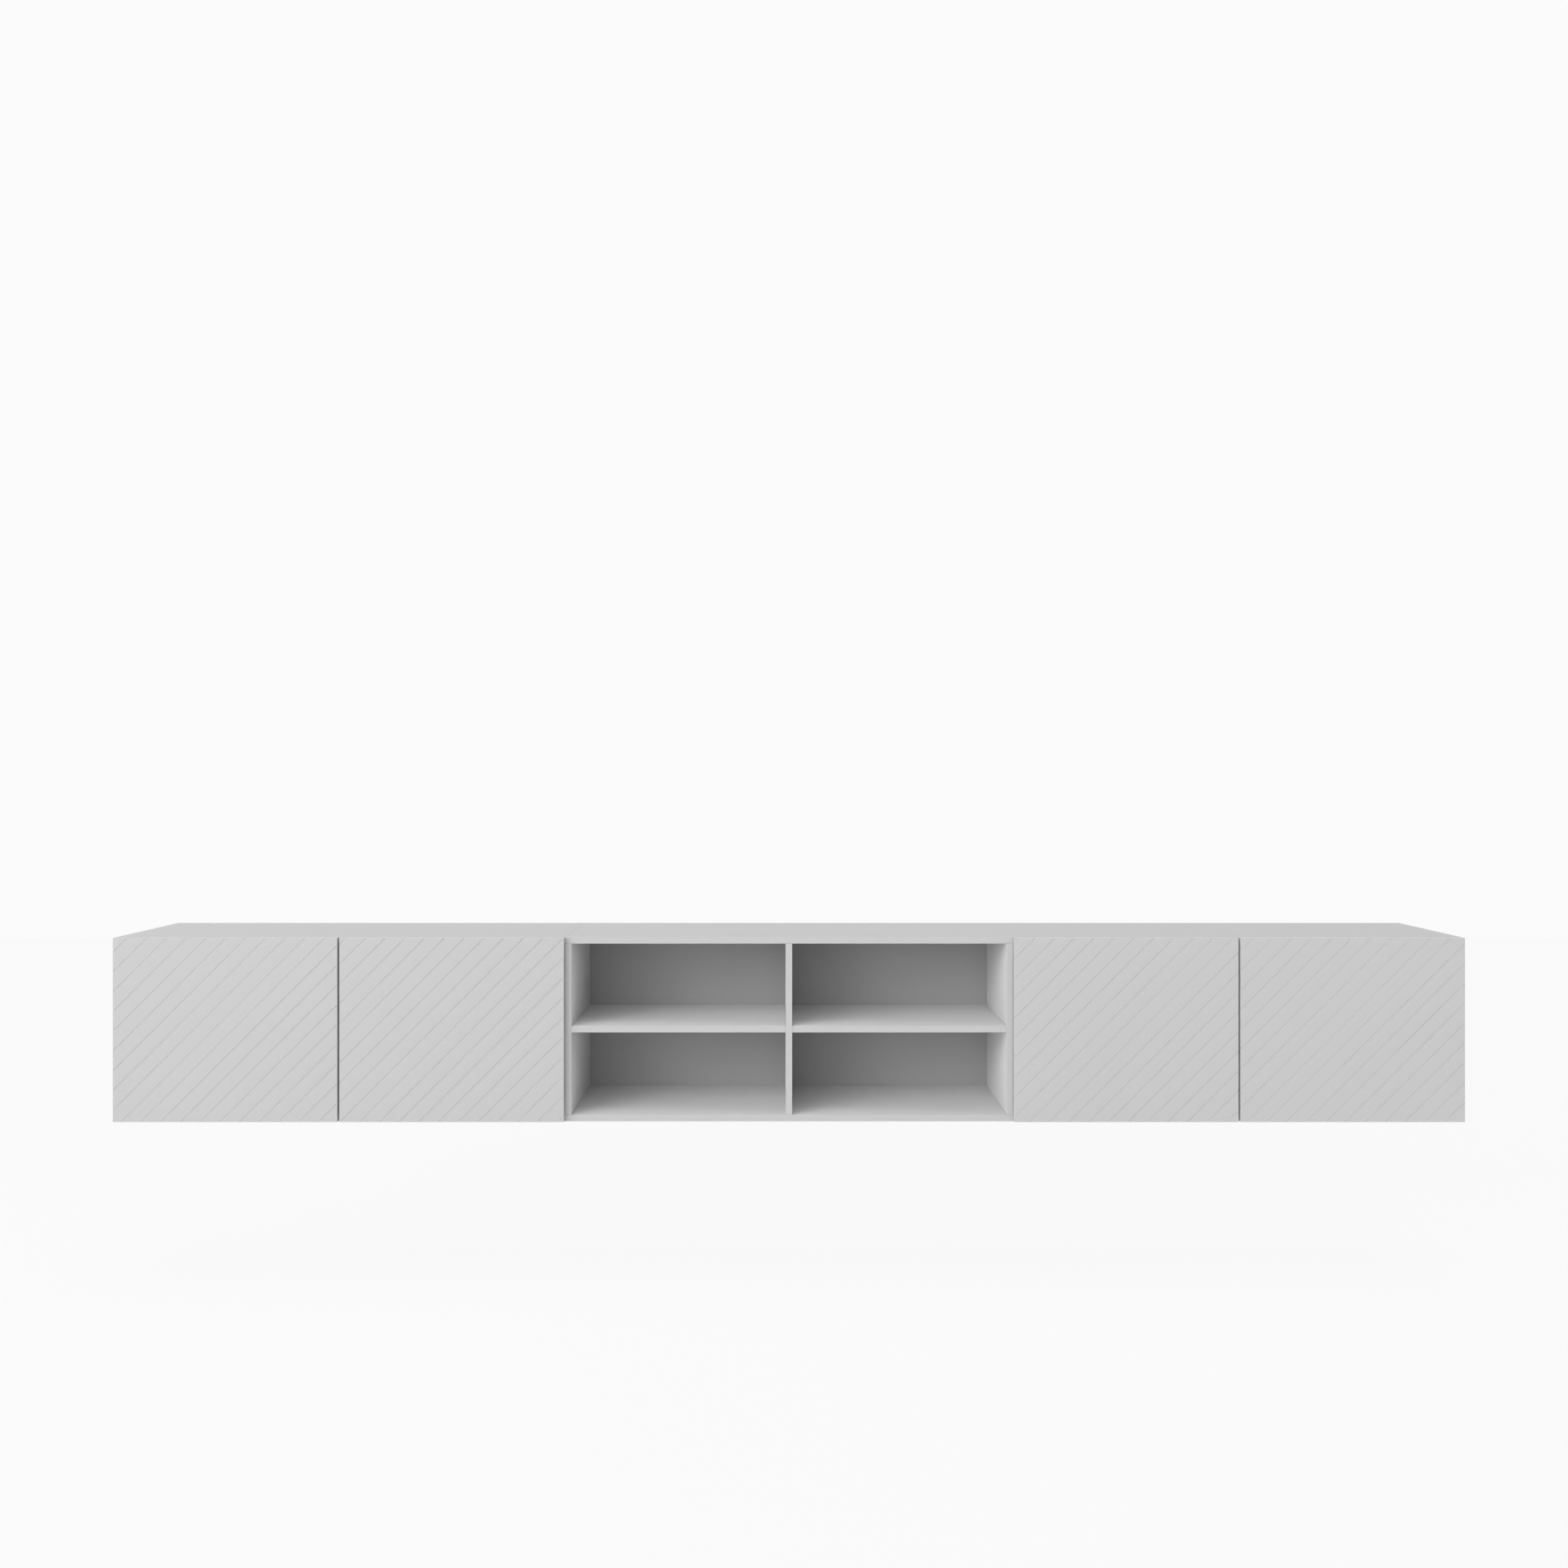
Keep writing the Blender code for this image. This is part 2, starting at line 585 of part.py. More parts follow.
def cup_screw_points():
    """Where the cup's screws enter the door's back face, in the hinge's frame."""
    return [CUP_MOUTH + Vector((0, 0, side * CUP_SCREW_SPACING / 2)) for side in (-1, 1)]


def groove_cuts(mesh, left_edge, first_groove):
    """Square bars along the door's grooves, turned on edge and flattened, so that they cut a wide V in front."""
    height = DOOR_TOP - DOOR_BOTTOM
    side = GROOVE_WIDTH / math.sqrt(2)
    on_edge = Matrix.Rotation(math.radians(45.0), 4, "X")
    flattened = Matrix.Diagonal((1.0, 2 * GROOVE_DEPTH / GROOVE_WIDTH, 1.0, 1.0))
    along_groove = Matrix.Rotation(math.radians(-45.0), 4, "Y") @ flattened @ on_edge
    count = math.ceil((DOOR_WIDTH + height) / GROOVE_PITCH)
    for index in range(count):
        crossing = first_groove + index * GROOVE_PITCH
        upper = max(0.0, crossing - DOOR_WIDTH)
        lower = min(height, crossing)
        if lower <= upper:
            continue
        drop = (upper + lower) / 2
        middle = Vector((left_edge + crossing - drop, DOOR_FRONT, DOOR_TOP - drop))
        length = (lower - upper) * math.sqrt(2) + 2 * (GROOVE_WIDTH + CUT_OVERRUN)
        shape = Matrix.Diagonal((length, side, side, 1.0))
        bmesh.ops.create_cube(mesh, size=1.0, matrix=Matrix.Translation(middle) @ along_groove @ shape)


def door(number, axis):
    """A lacquered door with V-grooves in front, cup bores behind and the steel strike plate of its latch."""
    _, edge, towards_free = DOORS[number]
    left = min(edge, edge + towards_free * DOOR_WIDTH)
    mesh = bmesh.new()
    box(mesh, (left, DOOR_FRONT, DOOR_BOTTOM), (left + DOOR_WIDTH, DOOR_BACK, DOOR_TOP))
    obj = new_object("door_%d" % number, mesh, DOOR_FINISH, PARTS, axis.location, axis)
    grooves = bmesh.new()
    groove_cuts(grooves, left, FIRST_GROOVES[number])
    combine(obj, "grooves", "DIFFERENCE", grooves)
    bores = bmesh.new()
    for height in HINGE_HEIGHTS.values():
        place = hinge_place(number, height)
        mouth = place @ (CUP_MOUTH + Vector((0, CUT_OVERRUN, 0)))
        bottom = place @ (CUP_MOUTH - Vector((0, CUP_DEPTH + CUP_PLAY, 0)))
        rod(bores, mouth, bottom, CUP_DIAMETER + 2 * CUP_PLAY, ROUND_SIDES)
        for point in cup_screw_points():
            screw_hole(bores, place @ point, Vector((0, -1, 0)))
    combine(obj, "bores", "DIFFERENCE", bores)
    strike = bmesh.new()
    seat = (latch_x(number), DOOR_BACK - JOIN_OVERLAP, LATCH_Z)
    face = (latch_x(number), DOOR_BACK + STRIKE_THICKNESS, LATCH_Z)
    rod(strike, seat, face, STRIKE_DIAMETER, MIDDLE_SIDES)
    combine(obj, "strike_plate", "UNION", strike)


def hinge_cup():
    """A pressed pot with a winged flange on the door's back, two screws, and ears inside for the pin."""
    rim = CUP_MOUTH + Vector((0, CUP_RIM, 0))
    pot = bmesh.new()
    rod(pot, rim, CUP_MOUTH - Vector((0, CUP_DEPTH, 0)), CUP_DIAMETER, ROUND_SIDES)
    cup = new_object("cup", pot, None, PARTS)
    half_wing = Vector((CUP_WING_WIDTH / 2, 0, CUP_WING_LENGTH / 2))
    wings = bmesh.new()
    box(wings, CUP_MOUTH + Vector((0, TOUCH_GAP, 0)) - half_wing, rim + half_wing)
    tools = [combine(cup, "wings", "UNION", wings)]
    inner = CUP_DIAMETER - 2 * CUP_WALL
    bottom = CUP_MOUTH - Vector((0, CUP_DEPTH - CUP_WALL, 0))
    hollow = bmesh.new()
    rod(hollow, rim + Vector((0, CUT_OVERRUN, 0)), bottom, inner, ROUND_SIDES)
    tools.append(combine(cup, "hollow", "DIFFERENCE", hollow))
    ear_start = ARM_WIDTH / 2 + ARM_SIDE_PLAY
    ear_end = ear_start + CUP_EAR_THICKNESS
    middle_of_wall = (CUP_DIAMETER - CUP_WALL) / 2
    in_wall = CUP_MOUTH[0] - math.sqrt(middle_of_wall**2 - ear_end**2)
    ear_radius = HINGE_PIN_DIAMETER / 2 + HINGE_PIN_PLAY + CUP_EAR_WALL
    ears = bmesh.new()
    for z_low, z_high in ((-ear_end, -ear_start), (ear_start, ear_end)):
        box(ears, (in_wall, bottom[1] - CUP_WALL / 2, z_low), (ear_radius, ear_radius, z_high))
    tools.append(combine(cup, "ears", "UNION", ears))
    bore = bmesh.new()
    reach = ear_end + TOUCH_GAP
    rod(bore, (0, 0, -reach), (0, 0, reach), HINGE_PIN_DIAMETER + 2 * HINGE_PIN_PLAY, SMALL_SIDES)
    tools.append(combine(cup, "bore", "DIFFERENCE", bore))
    screws = bmesh.new()
    for point in cup_screw_points():
        screw(screws, point, Vector((0, -1, 0)), CUP_RIM - TOUCH_GAP)
    tools.append(combine(cup, "screws", "UNION", screws))
    return baked(cup, tools)


def hinge_pin():
    reach = ARM_WIDTH / 2 + ARM_SIDE_PLAY + CUP_EAR_THICKNESS
    mesh = bmesh.new()
    rod(mesh, (0, 0, -reach), (0, 0, reach), HINGE_PIN_DIAMETER, SMALL_SIDES)
    return baked(new_object("pin", mesh, None, PARTS), ())


def hinge_arm():
    """The goose-neck from the pin across the cup, over its rim and on to its mounting plate's ridge."""
    reach = HINGE_PIN_DEPTH + CUP_RIM + ARM_CLEARANCE + ARM_THICKNESS / 2
    foot = SIDE_FACE_FROM_PIN + TOUCH_GAP
    foot_face = foot + PLATE_THICKNESS
    ridge_top = foot_face + PLATE_RIDGE_HEIGHT
    seat = ridge_top + ARM_THICKNESS / 2 - JOIN_OVERLAP
    slope_start = CARCASS_FROM_PIN + ARM_STRAIGHT_INSIDE
    slope_end = slope_start + ARM_SLOPE_LENGTH
    arm_end = slope_end + ARM_SEAT_LENGTH
    path = ((0, 0, 0), (reach, 0, 0), (reach, slope_start, 0), (seat, slope_end, 0), (seat, arm_end, 0))
    arm = bent_strip("arm", path, (0, 0, 1), ARM_WIDTH, ARM_THICKNESS, ARM_BEND_RADIUS)
    half = ARM_WIDTH / 2
    knuckle = bmesh.new()
    rod(knuckle, (0, 0, -half), (0, 0, half), KNUCKLE_DIAMETER, MIDDLE_SIDES)
    tools = [combine(arm, "knuckle", "UNION", knuckle)]
    bore = bmesh.new()
    past = half + CUT_OVERRUN
    rod(bore, (0, 0, -past), (0, 0, past), HINGE_PIN_DIAMETER + 2 * HINGE_PIN_PLAY, SMALL_SIDES)
    tools.append(combine(arm, "bore", "DIFFERENCE", bore))
    channel = bmesh.new()
    half_channel = PLATE_RIDGE_WIDTH / 2 + ARM_THICKNESS
    channel_low = (seat - ARM_CHANNEL_LEG, slope_end + ARM_BEND_RADIUS, -half_channel)
    box(channel, channel_low, (seat, arm_end - ARM_BEND_RADIUS, half_channel))
    tools.append(combine(arm, "channel", "UNION", channel))
    middle = CARCASS_FROM_PIN + PLATE_FROM_FRONT
    ridge = bmesh.new()
    half_ridge = Vector((0, PLATE_RIDGE_LENGTH / 2, PLATE_RIDGE_WIDTH / 2))
    box(ridge, Vector((foot, middle, 0)) - half_ridge, Vector((ridge_top, middle, 0)) + half_ridge)
    tools.append(combine(arm, "ridge", "UNION", ridge))
    plate = bmesh.new()
    half_plate = Vector((0, PLATE_WIDTH / 2, PLATE_LENGTH / 2))
    box(plate, Vector((foot, middle, 0)) - half_plate, Vector((foot_face, middle, 0)) + half_plate)
    tools.append(combine(arm, "plate", "UNION", plate))
    screws = bmesh.new()
    for side in (-1, 1):
        point = Vector((SIDE_FACE_FROM_PIN, middle, side * PLATE_SCREW_SPACING / 2))
        screw(screws, point, Vector((-1, 0, 0)), PLATE_THICKNESS)
    tools.append(combine(arm, "screws", "UNION", screws))
    return baked(arm, tools)


def latch_housing():
    """The push latch's body: a bored block with a screwed tab on each side, under the top panel at X = 0."""
    top = CEILING - TOUCH_GAP
    block = bmesh.new()
    half = LATCH_WIDTH / 2
    box(block, (-half, LATCH_FRONT, top - LATCH_HEIGHT), (half, LATCH_FRONT + LATCH_LENGTH, top))
    housing = new_object("housing", block, None, PARTS)
    edges = housing.modifiers.new("moulded_edges", "BEVEL")
    edges.width = LATCH_WALL / 2
    edges.segments = 1
    middle = LATCH_FRONT + LATCH_LENGTH / 2
    half_tab = Vector((LATCH_TAB_WIDTH / 2, LATCH_TAB_LENGTH / 2, 0))
    tabs = bmesh.new()
    box(tabs, Vector((0, middle, top - LATCH_TAB_THICKNESS)) - half_tab, Vector((0, middle, top)) + half_tab)
    tools = [combine(housing, "tabs", "UNION", tabs)]
    bore = bmesh.new()
    mouth = (0, LATCH_FRONT - CUT_OVERRUN, LATCH_Z)
    bore_end = (0, PLUNGER_TIP + PLUNGER_LENGTH + TOUCH_GAP, LATCH_Z)
    rod(bore, mouth, bore_end, 2 * (PLUNGER_RADIUS + PLUNGER_PLAY), MIDDLE_SIDES)
    tools.append(combine(housing, "bore", "DIFFERENCE", bore))
    screws = bmesh.new()
    for point in latch_screw_points(0.0):
        screw(screws, point, Vector((0, 0, 1)), LATCH_TAB_THICKNESS)
    tools.append(combine(housing, "screws", "UNION", screws))
    return baked(housing, tools)


def latch_plunger():
    """The plunger, turned about Z with its tip up at the origin."""
    profile = (
        (0.0, 0.0),
        (PLUNGER_RADIUS - PLUNGER_TIP_CHAMFER, 0.0),
        (PLUNGER_RADIUS, -PLUNGER_TIP_CHAMFER),
        (PLUNGER_RADIUS, -PLUNGER_LENGTH),
        (0.0, -PLUNGER_LENGTH),
    )
    mesh = bmesh.new()
    points = [mesh.verts.new((radius, 0, height)) for radius, height in profile]
    for upper, lower in zip(points, points[1:]):
        mesh.edges.new((upper, lower))
    obj = new_object("plunger", mesh, None, PARTS)
    spin = obj.modifiers.new("turned", "SCREW")
    spin.steps = MIDDLE_SIDES
    spin.render_steps = MIDDLE_SIDES
    spin.use_merge_vertices = True
    spin.merge_threshold = JOIN_OVERLAP / 10
    return baked(obj, ())


def doors_with_fittings():
    """Each door and what moves with it, on an empty at the hinge axis, and the fittings on the carcass."""
    cup = hinge_cup()
    pin = hinge_pin()
    arm = hinge_arm()
    housing = latch_housing()
    plunger = latch_plunger()
    tip_forward = Matrix.Rotation(math.radians(90.0), 4, "X")
    for number in DOORS:
        name = "door_%d" % number
        axis = bpy.data.objects.new(name + "_axis", None)
        PARTS.objects.link(axis)
        axis.location = hinge_place(number, MIDDLE_HEIGHT).translation
        door(number, axis)
        for level, height in HINGE_HEIGHTS.items():
            place = hinge_place(number, height)
            hinge = name + "_" + level + "_hinge_"
            placed(hinge + "cup", cup, place, NICKEL_FINISH, axis.location, axis)
            placed(hinge + "pin", pin, place, ZINC_FINISH, axis.location, axis)
            placed(hinge + "arm", arm, place, NICKEL_FINISH)
        placed(name + "_latch_housing", housing, Matrix.Translation((latch_x(number), 0, 0)), PLASTIC_FINISH)
        tip = Vector((latch_x(number), PLUNGER_TIP, LATCH_Z))
        placed(name + "_latch_plunger", plunger, Matrix.Translation(tip) @ tip_forward, ZINC_FINISH, tip)


for module_name in MODULE_LEFT_EDGES:
    latches = [latch_x(number) for number, (module, _, _) in DOORS.items() if module == module_name]
    flat_panel(module_name, "top", latches)
    flat_panel(module_name, "bottom", [])
    back_panel(module_name)
    hanging_rail(module_name)
side_panel("left_outer_side", "left", "left")
side_panel("left_inner_side", "left", "right")
side_panel("middle_left_side", "middle", "left")
side_panel("middle_right_side", "middle", "right")
side_panel("right_inner_side", "right", "left")
side_panel("right_outer_side", "right", "right")
middle_divider()
niche_shelf("left")
niche_shelf("right")
loose_shelf("left")
loose_shelf("right")
wall_rail()
doors_with_fittings()
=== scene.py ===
import math

import bmesh
import bpy
from mathutils import Matrix, Vector


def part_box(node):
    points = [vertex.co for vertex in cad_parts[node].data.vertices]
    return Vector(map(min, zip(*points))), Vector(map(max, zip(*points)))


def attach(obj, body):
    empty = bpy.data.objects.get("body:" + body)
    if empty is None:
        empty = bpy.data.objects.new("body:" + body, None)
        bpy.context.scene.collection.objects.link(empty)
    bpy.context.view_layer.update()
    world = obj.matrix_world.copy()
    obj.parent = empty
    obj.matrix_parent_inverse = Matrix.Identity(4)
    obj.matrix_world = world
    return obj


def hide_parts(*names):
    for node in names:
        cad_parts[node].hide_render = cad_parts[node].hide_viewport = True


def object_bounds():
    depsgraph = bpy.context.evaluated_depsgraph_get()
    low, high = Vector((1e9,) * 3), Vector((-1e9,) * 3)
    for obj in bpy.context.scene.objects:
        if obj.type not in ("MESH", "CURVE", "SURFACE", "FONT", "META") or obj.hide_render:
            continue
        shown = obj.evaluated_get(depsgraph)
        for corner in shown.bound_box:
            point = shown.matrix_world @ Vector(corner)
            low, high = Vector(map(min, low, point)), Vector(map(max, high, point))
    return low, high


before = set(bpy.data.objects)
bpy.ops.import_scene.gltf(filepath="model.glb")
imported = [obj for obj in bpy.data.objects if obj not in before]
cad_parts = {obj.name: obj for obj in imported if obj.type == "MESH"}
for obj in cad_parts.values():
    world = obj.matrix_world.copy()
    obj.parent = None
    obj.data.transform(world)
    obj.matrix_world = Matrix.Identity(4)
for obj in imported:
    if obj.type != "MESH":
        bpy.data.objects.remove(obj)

# The wall-hung TV cabinet: what shows of each piece, in the finish it leaves the factory with.
# Metres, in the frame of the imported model: +X to the right, +Y into the wall, +Z up.
cad_low, cad_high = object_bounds()


# Camera
# It stands level and square to the doors, a little left of the middle and above the top, as it did for the
# photograph.
CAMERA_LENS = 35.0
CAMERA_SENSOR = 36.0
CAMERA_FROM_DOORS = 3.720
CAMERA_ABOVE_TOP = 0.3755
CAMERA_LEFT_OF_MIDDLE = 0.012
QUARTER_TURN = math.radians(90.0)

camera_data = bpy.data.cameras.new("camera")
camera_data.lens = CAMERA_LENS
camera_data.sensor_width = CAMERA_SENSOR
camera = bpy.data.objects.new("camera", camera_data)
camera.location = (-CAMERA_LEFT_OF_MIDDLE, cad_low.y - CAMERA_FROM_DOORS, cad_high.z + CAMERA_ABOVE_TOP)
camera.rotation_euler = (QUARTER_TURN, 0.0, 0.0)
bpy.context.scene.collection.objects.link(camera)
bpy.context.scene.camera = camera
bpy.context.scene.view_settings.view_transform = "Standard"


# Backdrop, floor and light
# A white studio: an even sky, four wide soft lamps far off, low at the left, in front and at the right and
# high overhead, and a softbox nearer to the left end. The floor lies well below and keeps a trace of shadow.
WHITE_LIGHT = (1.0, 1.0, 1.0, 1.0)
BACKDROP_WHITE = "#FBFBFB"
SKY_STRENGTH = 0.35
FLOOR_BELOW = 0.40
FLOOR_SIZE = 16.0
FLOOR_SHADOW_SHARE = 0.06
# The azimuth and elevation of each far lamp in degrees, and its strength
FAR_LAMPS = {"left": (-45.0, 10.0, 0.69), "front": (-15.0, 10.0, 0.93), "right": (85.0, 10.0, 0.84),
             "overhead": (0.0, 85.0, 0.77)}
FAR_LAMP_WIDTH = 50.0
FAR_LAMP_DISTANCE = 16.0
SOFTBOX_SIZE = 2.4
SOFTBOX_FROM_MIDDLE = Vector((-3.6, -3.0, 1.9))
SOFTBOX_WATTS = 45.8


def linear(code):
    """An sRGB hex colour as linear red, green, blue and alpha."""
    channels = [int(code[i:i + 2], 16) / 255 for i in (1, 3, 5)]
    return (*[c / 12.92 if c <= 0.04045 else ((c + 0.055) / 1.055) ** 2.4 for c in channels], 1.0)


def empty_tree(owner):
    """The node tree of a material or a world, with nothing in it."""
    owner.use_nodes = True
    owner.node_tree.nodes.clear()
    return owner.node_tree


def add(tree, kind, values=None, **settings):
    """A node with its settings. A value is a number, a vector, a colour, or the node, the output or the list
    of them that feeds that input."""
    node = tree.nodes.new(kind)
    for name, setting in settings.items():
        setattr(node, name, setting)
    for name, value in (values or {}).items():
        for source in value if isinstance(value, list) else [value]:
            if isinstance(source, bpy.types.Node):
                source = source.outputs[0]
            if isinstance(source, bpy.types.NodeSocket):
                tree.links.new(source, node.inputs[name])
            else:
                node.inputs[name].default_value = source
    return node


def seen_directly(tree):
    """1 for rays from the camera and those that metal or glass sends on, 0 for the rays that carry light."""
    ray = add(tree, "ShaderNodeLightPath").outputs
    seen = ray["Is Camera Ray"]
    for sent_on in ("Is Glossy Ray", "Is Transmission Ray"):
        seen = add(tree, "ShaderNodeMath", {0: seen, 1: ray[sent_on]}, operation="MAXIMUM")
    return seen


def as_object(name, mesh):
    """An object in the scene with this mesh, which is used up."""
    data = bpy.data.meshes.new(name)
    mesh.to_mesh(data)
    mesh.free()
    made = bpy.data.objects.new(name, data)
    bpy.context.scene.collection.objects.link(made)
    return made


def hung_lamp(name, kind, place, **settings):
    """A lamp that shines from its place towards the middle of the cabinet."""
    light = bpy.data.lights.new(name, kind)
    for setting, value in settings.items():
        setattr(light, setting, value)
    lamp = bpy.data.objects.new(name, light)
    lamp.location = (cad_low + cad_high) / 2 + place
    lamp.rotation_euler = place.to_track_quat("Z", "Y").to_euler()
    bpy.context.scene.collection.objects.link(lamp)


world = bpy.data.worlds.new("white_studio")
bpy.context.scene.world = world
sky = empty_tree(world)
studio_light = add(sky, "ShaderNodeBackground", {"Color": WHITE_LIGHT, "Strength": SKY_STRENGTH})
white_drop = add(sky, "ShaderNodeBackground", {"Color": linear(BACKDROP_WHITE), "Strength": 1.0})
both = add(sky, "ShaderNodeMixShader", {0: seen_directly(sky), 1: studio_light, 2: white_drop})
add(sky, "ShaderNodeOutputWorld", {"Surface": both})

floor_finish = bpy.data.materials.new("white_studio_floor")
tree = empty_tree(floor_finish)
paint = add(tree, "ShaderNodeBsdfDiffuse", {"Color": linear(BACKDROP_WHITE)})
glow = add(tree, "ShaderNodeEmission", {"Color": linear(BACKDROP_WHITE), "Strength": 1.0})
share = add(tree, "ShaderNodeMath", {0: seen_directly(tree), 1: 1.0 - FLOOR_SHADOW_SHARE},
            operation="MULTIPLY")
both = add(tree, "ShaderNodeMixShader", {0: share, 1: paint, 2: glow})
add(tree, "ShaderNodeOutputMaterial", {"Surface": both})
floor_mesh = bmesh.new()
bmesh.ops.create_grid(floor_mesh, x_segments=1, y_segments=1, size=FLOOR_SIZE / 2,
                      matrix=Matrix.Translation((0.0, 0.0, cad_low.z - FLOOR_BELOW)))
floor = as_object("studio_floor", floor_mesh)
floor.data.materials.append(floor_finish)

for lamp_name, (azimuth, elevation, strength) in FAR_LAMPS.items():
    turn = Matrix.Rotation(math.radians(azimuth), 3, "Z") @ Matrix.Rotation(math.radians(-elevation), 3, "X")
    hung_lamp(lamp_name, "SUN", turn @ Vector((0.0, -FAR_LAMP_DISTANCE, 0.0)), energy=strength,
              angle=math.radians(FAR_LAMP_WIDTH))
hung_lamp("softbox", "AREA", SOFTBOX_FROM_MIDDLE, energy=SOFTBOX_WATTS, shape="SQUARE", size=SOFTBOX_SIZE)


# Carcass boards
# 16 mm chipboard faced with grey melamine, matt inside and a little lighter there: painted light in the
# niches.
# The front edges and the ends of top and bottom have a glued plastic edge band with a broken arris, and the
# other edges stay raw. Wooden dowels join them, and steel pins in rows of holes carry the loose shelves.
ARRIS = 0.0005
EDGE_ZONE = 1.5 * ARRIS
PIN_FROM_SHELF_EDGE = 0.040
PIN_BELOW_SHELF = 0.0028
PIN_HOLES = 5
PIN_HOLE_SPACING = 0.032
PIN_HOLE_DIAMETER = 0.005
PIN_HOLE_DEPTH = 0.010
PIN_HOLE_SIDES = 24
# A pattern is its cells in a metre and its detail. A relief is its strength and its height in metres.
BOARD_GREYS = ("#CACACA", "#CDCDCD")
BOARD_ROUGHNESS = 0.55
# Painted light: the lining's greys are a little lighter than the outer faces, to brighten the inside of the
# niches
PAINTED_LIGHT_LINING_GREYS = ("#CFCFCF", "#D2D2D2")
LINING_ROUGHNESS = 0.60
EDGE_ROUGHNESS = 0.50
EVENLY_MATT = 1.0
MELAMINE_CLOUDS = (6.0, 3.0)
PEARL_GRAIN = (1.0 / 0.0007, 2.0)
PEARL_SHEEN = 0.08
PEARL_RELIEF = (0.12, 0.00006)
CHIP_COLOURS = ("#B89A70", "#8F6F49")
CHIP_LENGTH = 0.004
CHIP_FIBRES = (4.0 / CHIP_LENGTH, 4.0)
CHIP_ROUGHNESS = 0.85
CHIP_RELIEF = (0.5, 0.0004)
BEECH_COLOURS = ("#D9BC93", "#B08A5E")
BEECH_FLECKS = (900.0, 3.0)
BEECH_ROUGHNESS = 0.7
ZINC_COLOURS = ("#C9CDD0", "#A9ADB2")
ZINC_ROUGHNESS = 0.36
ZINC_BLOTCHES = (1.0 / 0.012, 3.0)
PLATE_GLOSSIER = 0.08
PLATE_DULLER = 0.10
DRAWING_LINES = (2500.0, 2.0)
DRAWING_RELIEF = (0.08, 0.00005)
# How closely a face looks along an axis, and how near points are that count as one or as on a plane
FACING = 0.99
MERGED_WITHIN = 0.00001
ON_PLANE_WITHIN = 0.00003
FLAT_WITHIN = math.radians(0.5)
X_AXIS = 0
Z_AXIS = 2


def new_finish(name, *patterns):
    """A new material, and a noise on Object coordinates for each of its patterns."""
    material = bpy.data.materials.new(name)
    tree = empty_tree(material)
    place = add(tree, "ShaderNodeTexCoord").outputs["Object"]
    return material, *[add(tree, "ShaderNodeTexNoise", {"Vector": place, "Scale": cells, "Detail": detail})
                       for cells, detail in patterns]


def finished(material, tones, roughness, relief=None, looks=None):
    """The material with its Principled shader. Tones are a share and the two sRGB colours it runs between,
    roughness is a number or a pattern and two limits, relief is a pattern with its strength and height, and
    looks are other inputs."""
    tree = material.node_tree
    share, first, second = tones
    colour = add(tree, "ShaderNodeMix", {0: share, 6: linear(first), 7: linear(second)}, data_type="RGBA")
    values = {"Base Color": colour.outputs[2], "Roughness": roughness, **(looks or {})}
    if isinstance(roughness, tuple):
        pattern, least, most = roughness
        spread = {"Value": pattern, "To Min": least, "To Max": most}
        values["Roughness"] = add(tree, "ShaderNodeMapRange", spread)
    if relief:
        pattern, strength, height = relief
        bumps = {"Height": pattern, "Strength": strength, "Distance": height}
        values["Normal"] = add(tree, "ShaderNodeBump", bumps)
    add(tree, "ShaderNodeOutputMaterial", {"Surface": add(tree, "ShaderNodeBsdfPrincipled", values)})
    return material


def grey_melamine(name, greys, roughness, matt):
    """Melamine paper pressed with a fine pearl grain: even grey with a soft, broken-up sheen. A matt one
    scatters light back where it comes from, so it stays light where it is seen at a low angle."""
    material, cloud, grain = new_finish(name, MELAMINE_CLOUDS, PEARL_GRAIN)
    sheen = (grain, roughness - PEARL_SHEEN, roughness + PEARL_SHEEN)
    return finished(material, (cloud, *greys), sheen, (grain, *PEARL_RELIEF), {"Diffuse Roughness": matt})


def raw_chipboard():
    """The sawn edge of chipboard: flat wood chips in two browns, with pores between them."""
    material, fibres = new_finish("raw_chipboard", CHIP_FIBRES)
    tree = material.node_tree
    place = add(tree, "ShaderNodeTexCoord").outputs["Object"]
    chips = add(tree, "ShaderNodeTexVoronoi", {"Vector": place, "Scale": 1.0 / CHIP_LENGTH,
                                               "Randomness": 1.0})
    tone = add(tree, "ShaderNodeSeparateColor", {0: chips.outputs["Color"]})
    tones = add(tree, "ShaderNodeMath", {0: tone, 1: fibres}, operation="MULTIPLY")
    return finished(material, (tones, *CHIP_COLOURS), CHIP_ROUGHNESS, (fibres, *CHIP_RELIEF))


def beech():
    """Turned beech: pale, with fine brown flecks along the grain."""
    material, flecks = new_finish("beech_dowel", BEECH_FLECKS)
    return finished(material, (flecks, *BEECH_COLOURS), BEECH_ROUGHNESS)


def plated_steel(name, colours, roughness, blotch):
    """Plated sheet steel: metal whose gloss and tint vary in soft blotches, with faint drawing lines."""
    material, blotches, lines = new_finish(name, blotch, DRAWING_LINES)
    gloss = (blotches, roughness - PLATE_GLOSSIER, roughness + PLATE_DULLER)
    return finished(material, (blotches, *colours), gloss, (lines, *DRAWING_RELIEF), {"Metallic": 1.0})


MELAMINE = grey_melamine("grey_melamine_face", BOARD_GREYS, BOARD_ROUGHNESS, 0.0)
# The lining is the board melamine, matt and a little lighter: painted light for the inside of the niches
LINING = grey_melamine("matt_grey_melamine_face_painted_light", PAINTED_LIGHT_LINING_GREYS, LINING_ROUGHNESS, EVENLY_MATT)
EDGE_BAND = grey_melamine("grey_plastic_edge_band", BOARD_GREYS, EDGE_ROUGHNESS, EVENLY_MATT)
CHIPBOARD = raw_chipboard()
BEECH = beech()
ZINC = plated_steel("zinc_plated_steel", ZINC_COLOURS, ZINC_ROUGHNESS, ZINC_BLOTCHES)
BOARD_FINISHES = (MELAMINE, LINING, EDGE_BAND, CHIPBOARD, BEECH, ZINC)


